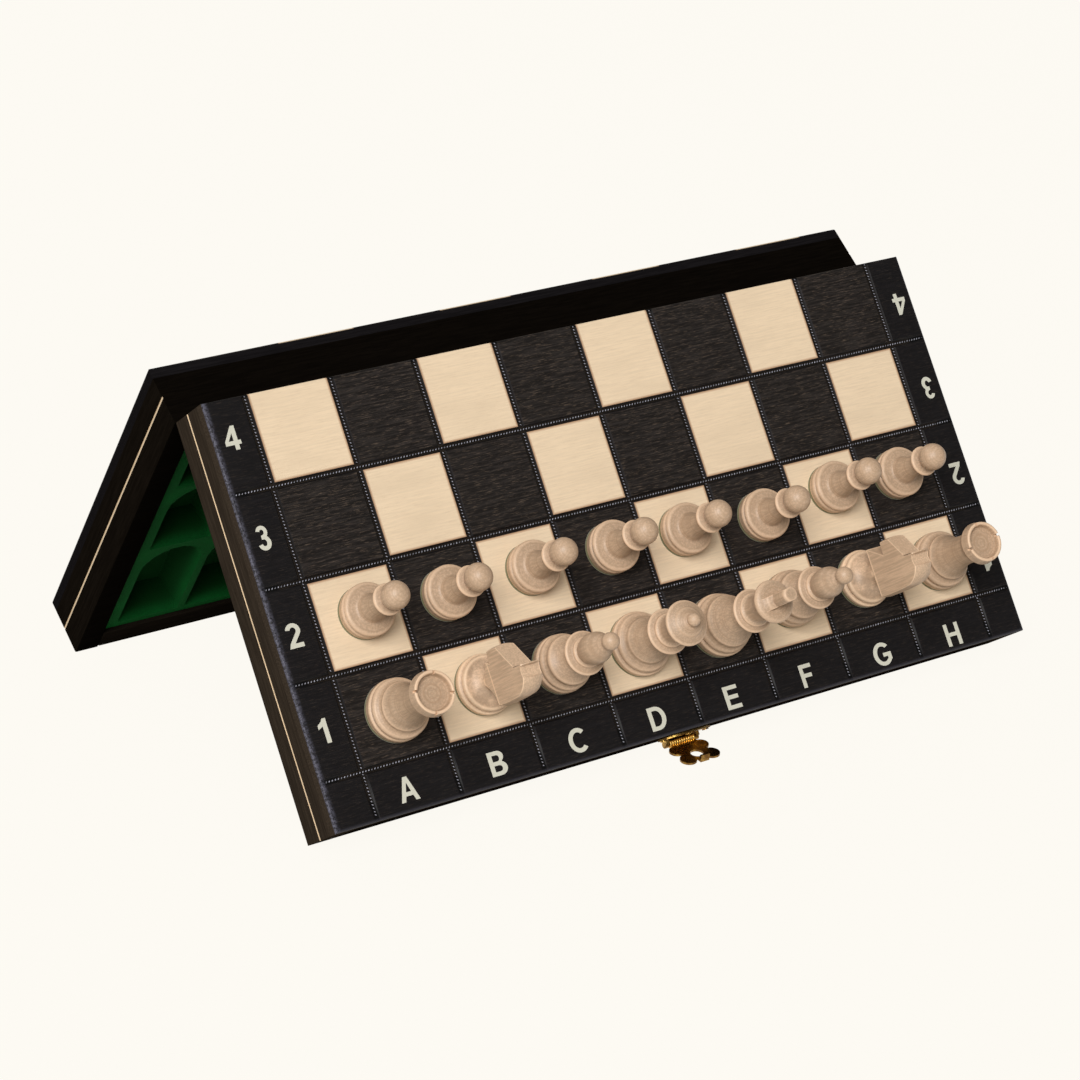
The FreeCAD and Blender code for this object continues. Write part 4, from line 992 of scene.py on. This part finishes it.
def cut_knight(points, radius, height, ease, kind):
    """Sides held to the slab, then the jaw notch held back, the forehead held down and the hollow behind the
    ear sunk; returns how rubbed the sawn edges are, which also places a painted highlight on them."""
    saw, (jaw_low, jaw_tip), roof, (brow_low, brow_top), hollow = KNIGHT_CUT_SHARES[kind]
    x, y, z = points.T
    scale = np.array([radius, height])
    held, over = limited(np.abs(x), KNIGHT_SLAB / 2, ease)
    above = z > saw * height
    points[:, 0] = np.where(above, np.sign(x) * held, x)
    rub_and_highlight = np.where(above, over * (1 - over), 0)
    (low_y, low_z), (tip_y, tip_z) = jaw_low * scale, jaw_tip * scale
    wall = np.interp(z, [low_z, tip_z], [low_y, tip_y])
    held, over = limited(y, wall, ease)
    inside = (z > low_z) & (z < roof * height)
    points[:, 1] = np.where(inside, held, y)
    rub_and_highlight = np.maximum(rub_and_highlight, np.where(inside, over * (1 - over), 0))
    (low_y, low_z), (top_y, top_z) = brow_low * scale, brow_top * scale
    plane = top_z + (points[:, 1] - top_y) * (low_z - top_z) / (low_y - top_y)
    held, over = limited(z, plane, ease)
    ahead = points[:, 1] > top_y
    points[:, 2] = np.where(ahead, held, z)
    rub_and_highlight = np.maximum(rub_and_highlight, np.where(ahead, over * (1 - over), 0))
    ends = (np.array(hollow) * scale)[::-1]
    sunk = np.interp(points[:, 1], ends[:, 0], ends[:, 1], left=2 * height, right=2 * height)
    points[:, 2] = np.minimum(points[:, 2], sunk)
    return 4 * rub_and_highlight


def cut_king(points, height, ease):
    """Finial held flat front and back, and held narrower in the slot at its foot; returns how rubbed the sawn
    edges are, which also places a painted highlight on them."""
    start, end = np.array(KING_SLOT_SHARES) * height
    x, y, z = points.T
    held, over = limited(np.abs(y), KING_THICKNESS / 2, ease)
    above = z > KING_FLAT_SHARE * height
    points[:, 1] = np.where(above, np.sign(y) * held, y)
    stem, _ = limited(np.abs(x), KING_STEM_SHARE * KING_THICKNESS, ease)
    points[:, 0] = np.where((z > start) & (z < end), np.sign(x) * stem, x)
    return np.where(above, 4 * over * (1 - over), 0)


def man_angles(kind):
    """Angles about a man's axis: even, finer for knights and king, and close by the rook's slots."""
    if kind == "rook":
        quarter = np.arange(4)[:, None] * math.pi / 2
        by_slot = np.radians([-7, -5.4, -4.6, -4.1, -3.6, -3.0, 0, 3.0, 3.6, 4.1, 4.6, 5.4, 7])
        between = np.radians(np.linspace(12, 78, 14))
        return np.sort((quarter + np.concatenate([by_slot, between])).ravel() % (2 * math.pi))
    count = SAWN_SIDES if kind.endswith("knight") or kind == "king" else TURNED_SIDES
    return np.arange(count) * 2 * math.pi / count


def man_place(node):
    """Middle of a man's foot on the playing surface, in board places."""
    low, high = board_box("front", node + "_foot")
    return np.array([(low[0] + high[0]) / 2, (low[1] + high[1]) / 2, low[2]])


def man_surface(node, kind, sizes):
    """Turned and sawn man in board places, with how rubbed and highlighted each of its points is."""
    low, high = board_box("front", node)
    radius = (high[0] - low[0]) / 2
    height = high[2] - man_place(node)[2]
    line = profile_line(PROFILE_SHARES[kind], radius, height, sizes.turning_step)
    angle = man_angles(kind)
    points, faces = turned_surface(line, angle)
    rub_and_highlight = np.append(np.repeat(edge_rub_and_highlight(line)[:-1], len(angle)), 0)
    if kind == "rook":
        cut_rook(points, height)
    elif kind == "king":
        rub_and_highlight = np.maximum(rub_and_highlight, cut_king(points, height, sizes.saw_ease))
    elif kind.endswith("knight"):
        rub_and_highlight = np.maximum(rub_and_highlight, cut_knight(points, radius, height, sizes.saw_ease, kind))
    turn = math.radians(TURNS_DEG.get(node, 0))
    spin = np.array([[math.cos(turn), math.sin(turn), 0], [-math.sin(turn), math.cos(turn), 0], [0, 0, 1]])
    return points @ spin + man_place(node), faces, rub_and_highlight


def keep_attributes(piece, node, rub_and_highlight):
    """Stores with every point how rubbed and highlighted it is and the foot of the man's axis in millimetres of
    the board.
    """
    layer = piece.data.attributes.new("rubbed_edge_and_highlight", "FLOAT", "POINT")
    layer.data.foreach_set("value", rub_and_highlight.astype(np.float32))
    layer = piece.data.attributes.new("turning_axis", "FLOAT_VECTOR", "POINT")
    layer.data.foreach_set("vector", np.tile(man_place(node) / MM, len(rub_and_highlight)).astype(np.float32))


def outline_points(steps):
    """Corners and arcs of one outline as points."""
    runs = []
    for step in steps:
        if len(step) == 6:
            x, y, wide, high, start, end = step
            angle = np.radians(np.linspace(start, end, 2 + int(abs(end - start) / ARC_STEP_DEG)))
            runs.append(np.stack([x + wide * np.cos(angle), y + high * np.sin(angle)], axis=-1))
        else:
            runs.append(np.array([step], float))
    return np.concatenate(runs)


def letter_shape(letter):
    """Filled outline of one letter as points and triangles, centred, a capital's height as its unit."""
    curve = bpy.data.curves.new("letter", "CURVE")
    curve.dimensions = "2D"
    curve.fill_mode = "BOTH"
    for steps in LETTER_SHARES[letter]:
        corners = outline_points(steps)
        line = curve.splines.new("POLY")
        line.points.add(len(corners) - 1)
        line.points.foreach_set("co", np.pad(corners, ((0, 0), (0, 2))).ravel())
        line.use_cyclic_u = True
    holder = bpy.data.objects.new("letter", curve)
    mesh = bpy.data.meshes.new_from_object(holder)
    mesh.calc_loop_triangles()
    points = np.empty(len(mesh.vertices) * 3)
    mesh.vertices.foreach_get("co", points)
    points = points.reshape(-1, 3)
    faces = np.empty(len(mesh.loop_triangles) * 3, np.int32)
    mesh.loop_triangles.foreach_get("vertices", faces)
    faces = faces.reshape(-1, 3)
    first, second, third = (points[faces[:, k]] for k in range(3))
    faces = faces[np.cross(second - first, third - first)[:, 2] > 1e-9]
    bpy.data.objects.remove(holder)
    bpy.data.curves.remove(curve)
    bpy.data.meshes.remove(mesh)
    return points - (points.min(0) + points.max(0)) / 2, faces


def lettering_surface(half, sizes):
    """Every letter and digit of a half, laid on its border just above the face."""
    letters, digits = MARKS[half]
    low, high = PANEL_LOW, PANEL_HIGH
    file_lines, rank_lines = line_places(sizes)
    marks = [(letter, x + (0.5 + drift) * sizes.square, low[1] + rise * sizes.outer_border, 1)
             for letter, x, drift, rise in zip(letters, file_lines, LETTER_DRIFT_SHARES, LETTER_UP_SHARES)]
    left, right = [file_lines[-1] + share * (high[0] - file_lines[-1]) for share in DIGIT_OUT_SHARES]
    for digit, y, left_up, right_up in zip(digits, rank_lines, LEFT_DIGIT_SHARES, RIGHT_DIGIT_SHARES):
        marks.append((digit, -left, y + left_up * sizes.square, 1))
        marks.append((digit, right, y + right_up * sizes.square, -1))
    points, faces = [], []
    count = 0
    for mark, x, y, way in marks:
        shape, outline = letter_shape(mark)
        flat = shape * sizes.letter_height * way + (x, y, 0)
        flat[:, 2] = high[2] + INK_LIFT
        points.append(flat)
        faces.append(outline + count)
        count += len(flat)
    return to_row(half, np.concatenate(points)), np.concatenate(faces).tolist()


# Operators, one for each group of like pieces
class BoardOperator:
    """What the operators share: settings, and an undoable step."""
    bl_options = {"REGISTER", "UNDO"}

    def settings(self, context):
        """Sizes and colours kept with the scene."""
        return context.scene.chess_board_sizes, context.scene.chess_board_colours


class CHESS_OT_playing_panels(BoardOperator, bpy.types.Operator):
    """Panels with squares, pressed lines and rounded edges"""
    bl_idname = "chess.playing_panels"
    bl_label = "Playing Panels"

    def execute(self, context):
        sizes, colours = self.settings(context)
        for half in HALVES:
            points, faces = panel_surface(half, sizes)
            make_piece(half + "_playing_face", points, faces, [panel_material(half, sizes, colours)],
                       half + "_half", [half + "_playing_panel"])
        return {"FINISHED"}


class CHESS_OT_beaded_lines(BoardOperator, bpy.types.Operator):
    """Beads pressed along the lines between the squares"""
    bl_idname = "chess.beaded_lines"
    bl_label = "Beaded Lines"

    def execute(self, context):
        sizes, colours = self.settings(context)
        for half in HALVES:
            points, faces = bead_surface(half, sizes)
            make_piece(half + "_beaded_lines", points, faces, [bead_material(half, sizes, colours)],
                       half + "_half")
        return {"FINISHED"}


class CHESS_OT_lettering(BoardOperator, bpy.types.Operator):
    """Letters along the outer borders and digits along both ends"""
    bl_idname = "chess.lettering"
    bl_label = "Lettering"

    def execute(self, context):
        sizes, colours = self.settings(context)
        material = print_material(colours)
        for half in HALVES:
            points, faces = lettering_surface(half, sizes)
            make_piece(half + "_lettering", points, faces, [material], half + "_half")
        return {"FINISHED"}


class CHESS_OT_rails(BoardOperator, bpy.types.Operator):
    """Rails around each half, with the bare line on the end rails"""
    bl_idname = "chess.rails"
    bl_label = "Rails"

    def execute(self, context):
        sizes, colours = self.settings(context)
        for half in HALVES:
            body = half + "_half"
            lengthwise = rail_material(half, colours, False, LONG_RAIL_PAINTED_SHADE, "long_rail")
            endwise = rail_material(half, colours, True, END_RAIL_PAINTED_SHADES[half], "end_rail")
            bare = bare_line_material(half, colours)
            spine = rail_material(half, colours, False, SPINE_RAIL_PAINTED_SHADE, "spine_rail")
            low, high = board_box(half, half + "_outer_rail")
            points, faces = block_surface(low, high, sizes.rail_round)
            make_piece(half + "_outer_edge", to_row(half, points), faces, [lengthwise], body,
                       [half + "_outer_rail"])
            for side in ("left", "right"):
                node = half + "_" + side + "_rail"
                points, faces, slots = end_rail_surface(half, node, sizes)
                make_piece(half + "_" + side + "_end", points, faces, [endwise, bare, spine], body,
                           [node], face_slots=slots)
            dress([half + "_spine_rail"], spine)
        return {"FINISHED"}


class CHESS_OT_insert_trays(BoardOperator, bpy.types.Operator):
    """Flocked trays with pockets for the men"""
    bl_idname = "chess.insert_trays"
    bl_label = "Insert Trays"

    def execute(self, context):
        sizes, colours = self.settings(context)
        for half in HALVES:
            points, faces = tray_surface(half, sizes)
            make_piece(half + "_flocked_insert", points, faces, [flock_material(half, colours)],
                       half + "_half", [half + "_insert_tray"])
        return {"FINISHED"}


class CHESS_OT_fittings(BoardOperator, bpy.types.Operator):
    """Brass hinges, clasp and nails, and the steel sheets inside"""
    bl_idname = "chess.fittings"
    bl_label = "Fittings"

    def execute(self, context):
        _, colours = self.settings(context)
        brass = [n for n in frame["nodes"] if any(w in n for w in ("hinge", "clasp", "catch"))]
        dress(brass, brass_material("aged_brass", colours, 0.5))
        dress(["hasp"], brass_material("hasp_brass", colours, tuple(SWING["pos_m"])))
        dress([half + "_steel_sheet" for half in HALVES], steel_material(colours))
        return {"FINISHED"}


class CHESS_OT_men(BoardOperator, bpy.types.Operator):
    """Turned men and the felt under them"""
    bl_idname = "chess.men"
    bl_label = "Men"

    def execute(self, context):
        sizes, colours = self.settings(context)
        wood = men_material("turned_wood", colours, 1.0)
        sawn = men_material("sawn_wood", colours, 0.2)
        for node in MEN:
            kind = KNIGHT_KINDS.get(node, node.split("_")[1])
            points, faces, rub_and_highlight = man_surface(node, kind, sizes)
            piece = make_piece(node + "_turned", to_row("front", points), faces,
                               [sawn if node in KNIGHT_KINDS else wood], node, [node])
            keep_attributes(piece, node, rub_and_highlight)
        dress([node + "_foot" for node in MEN], felt_material(colours))
        return {"FINISHED"}


class CHESS_OT_stage(BoardOperator, bpy.types.Operator):
    """Floor, soft lamps, pale surroundings and the camera"""
    bl_idname = "chess.stage"
    bl_label = "Stage"

    def execute(self, context):
        _, colours = self.settings(context)
        self.floor(context, colours)
        self.world(context, colours)
        self.lamps(context)
        self.camera(context)
        context.scene.view_settings.view_transform = "Standard"
        return {"FINISHED"}

    def floor(self, context, colours):
        """Wide level floor whose seen colour is mostly the backdrop's own, with a faint shadow."""
        mesh = bpy.data.meshes.new("floor")
        corners = [(x * FLOOR_REACH, y * FLOOR_REACH, 0) for x, y in ((-1, -1), (1, -1), (1, 1), (-1, 1))]
        mesh.from_pydata(corners, [], [(0, 1, 2, 3)])
        floor = bpy.data.objects.new("floor", mesh)
        context.scene.collection.objects.link(floor)
        material, g, shader = new_material("pale_floor")
        finish_shader(g, shader, {"Base Color": tint(colours.backdrop, 0.6), "Roughness": 0.9,
                                  "Specular IOR Level": 0.0})
        path = g.node("ShaderNodeLightPath").outputs
        mirrored = g.plus(path["Is Glossy Ray"], path["Is Transmission Ray"])
        seen = g.plus(path["Is Camera Ray"], mirrored, clamp=True)
        glow = g.node("ShaderNodeEmission", {"Color": tint(colours.backdrop), "Strength": 1.02}).outputs[0]
        mixed = g.node("ShaderNodeMixShader", {0: g.times(seen, 0.96), 1: shader.outputs[0], 2: glow})
        g.feed(material.node_tree.nodes["Material Output"].inputs[0], mixed.outputs[0])
        mesh.materials.append(material)

    def world(self, context, colours):
        """Even pale surroundings, brightest where they are seen."""
        world = bpy.data.worlds.new("studio")
        world.use_nodes = True
        context.scene.world = world
        g = Graph(world.node_tree)
        path = g.node("ShaderNodeLightPath").outputs
        seen = g.plus(path["Is Camera Ray"], path["Is Transmission Ray"], clamp=True)
        plain = g.minus(0.17, g.times(path["Is Glossy Ray"], 0.02))
        finish_shader(g, world.node_tree.nodes["Background"], {
            "Color": tint(colours.backdrop), "Strength": g.plus(g.times(seen, 0.83), plain)})

    def lamps(self, context):
        """Soft lamps: a large key from the upper left, one low at the left and one from behind."""
        for name, (place, size, power) in LAMPS.items():
            lamp = bpy.data.lights.new(name, "AREA")
            lamp.shape = "SQUARE"
            lamp.size = size
            lamp.energy = power
            holder = bpy.data.objects.new(name, lamp)
            holder.location = place
            holder.rotation_euler = (LAMP_TARGET - Vector(place)).to_track_quat("-Z", "Y").to_euler()
            context.scene.collection.objects.link(holder)

    def camera(self, context):
        """Camera at the photograph's place, looking along its own forward direction."""
        camera = bpy.data.cameras.new("photo_camera")
        camera.lens = CAMERA_LENS
        camera.sensor_width = 36.0
        camera.clip_end = 30.0
        holder = bpy.data.objects.new("photo_camera", camera)
        forward = CAMERA_FORWARD.normalized()
        right = (CAMERA_RIGHT - forward * CAMERA_RIGHT.dot(forward)).normalized()
        up = right.cross(forward)
        turn = Matrix((right, up, -forward)).transposed().to_4x4()
        under_fold = Vector((FOLD_POINT[0], FOLD_POINT[1], 0))
        holder.matrix_world = Matrix.Translation(CAMERA_PLACE + under_fold) @ turn
        context.scene.collection.objects.link(holder)
        context.scene.camera = holder


class CHESS_PT_pieces(bpy.types.Panel):
    """Lists the pieces and their settings"""
    bl_label = "Chess Board"
    bl_idname = "CHESS_PT_pieces"
    bl_space_type = "VIEW_3D"
    bl_region_type = "UI"
    bl_category = "Chess Board"

    def draw(self, context):
        for operator in OPERATORS:
            self.layout.operator(operator.bl_idname)
        for group in (context.scene.chess_board_sizes, context.scene.chess_board_colours):
            for name in group.__annotations__:
                self.layout.prop(group, name)


OPERATORS = (CHESS_OT_playing_panels, CHESS_OT_beaded_lines, CHESS_OT_lettering, CHESS_OT_rails,
             CHESS_OT_insert_trays, CHESS_OT_fittings, CHESS_OT_men, CHESS_OT_stage)
CLASSES = (ChessBoardSizes, ChessBoardColours, *OPERATORS, CHESS_PT_pieces)


def register():
    """Registers the classes and keeps the settings with the scene."""
    for each in CLASSES:
        bpy.utils.register_class(each)
    bpy.types.Scene.chess_board_sizes = PointerProperty(type=ChessBoardSizes)
    bpy.types.Scene.chess_board_colours = PointerProperty(type=ChessBoardColours)


def unregister():
    """Takes the settings and classes away again."""
    del bpy.types.Scene.chess_board_sizes
    del bpy.types.Scene.chess_board_colours
    for each in reversed(CLASSES):
        bpy.utils.unregister_class(each)


def main():
    """Builds every piece in order."""
    register()
    bpy.ops.chess.playing_panels()
    bpy.ops.chess.beaded_lines()
    bpy.ops.chess.lettering()
    bpy.ops.chess.rails()
    bpy.ops.chess.insert_trays()
    bpy.ops.chess.fittings()
    bpy.ops.chess.men()
    bpy.ops.chess.stage()


if __name__ == "__main__":
    main()
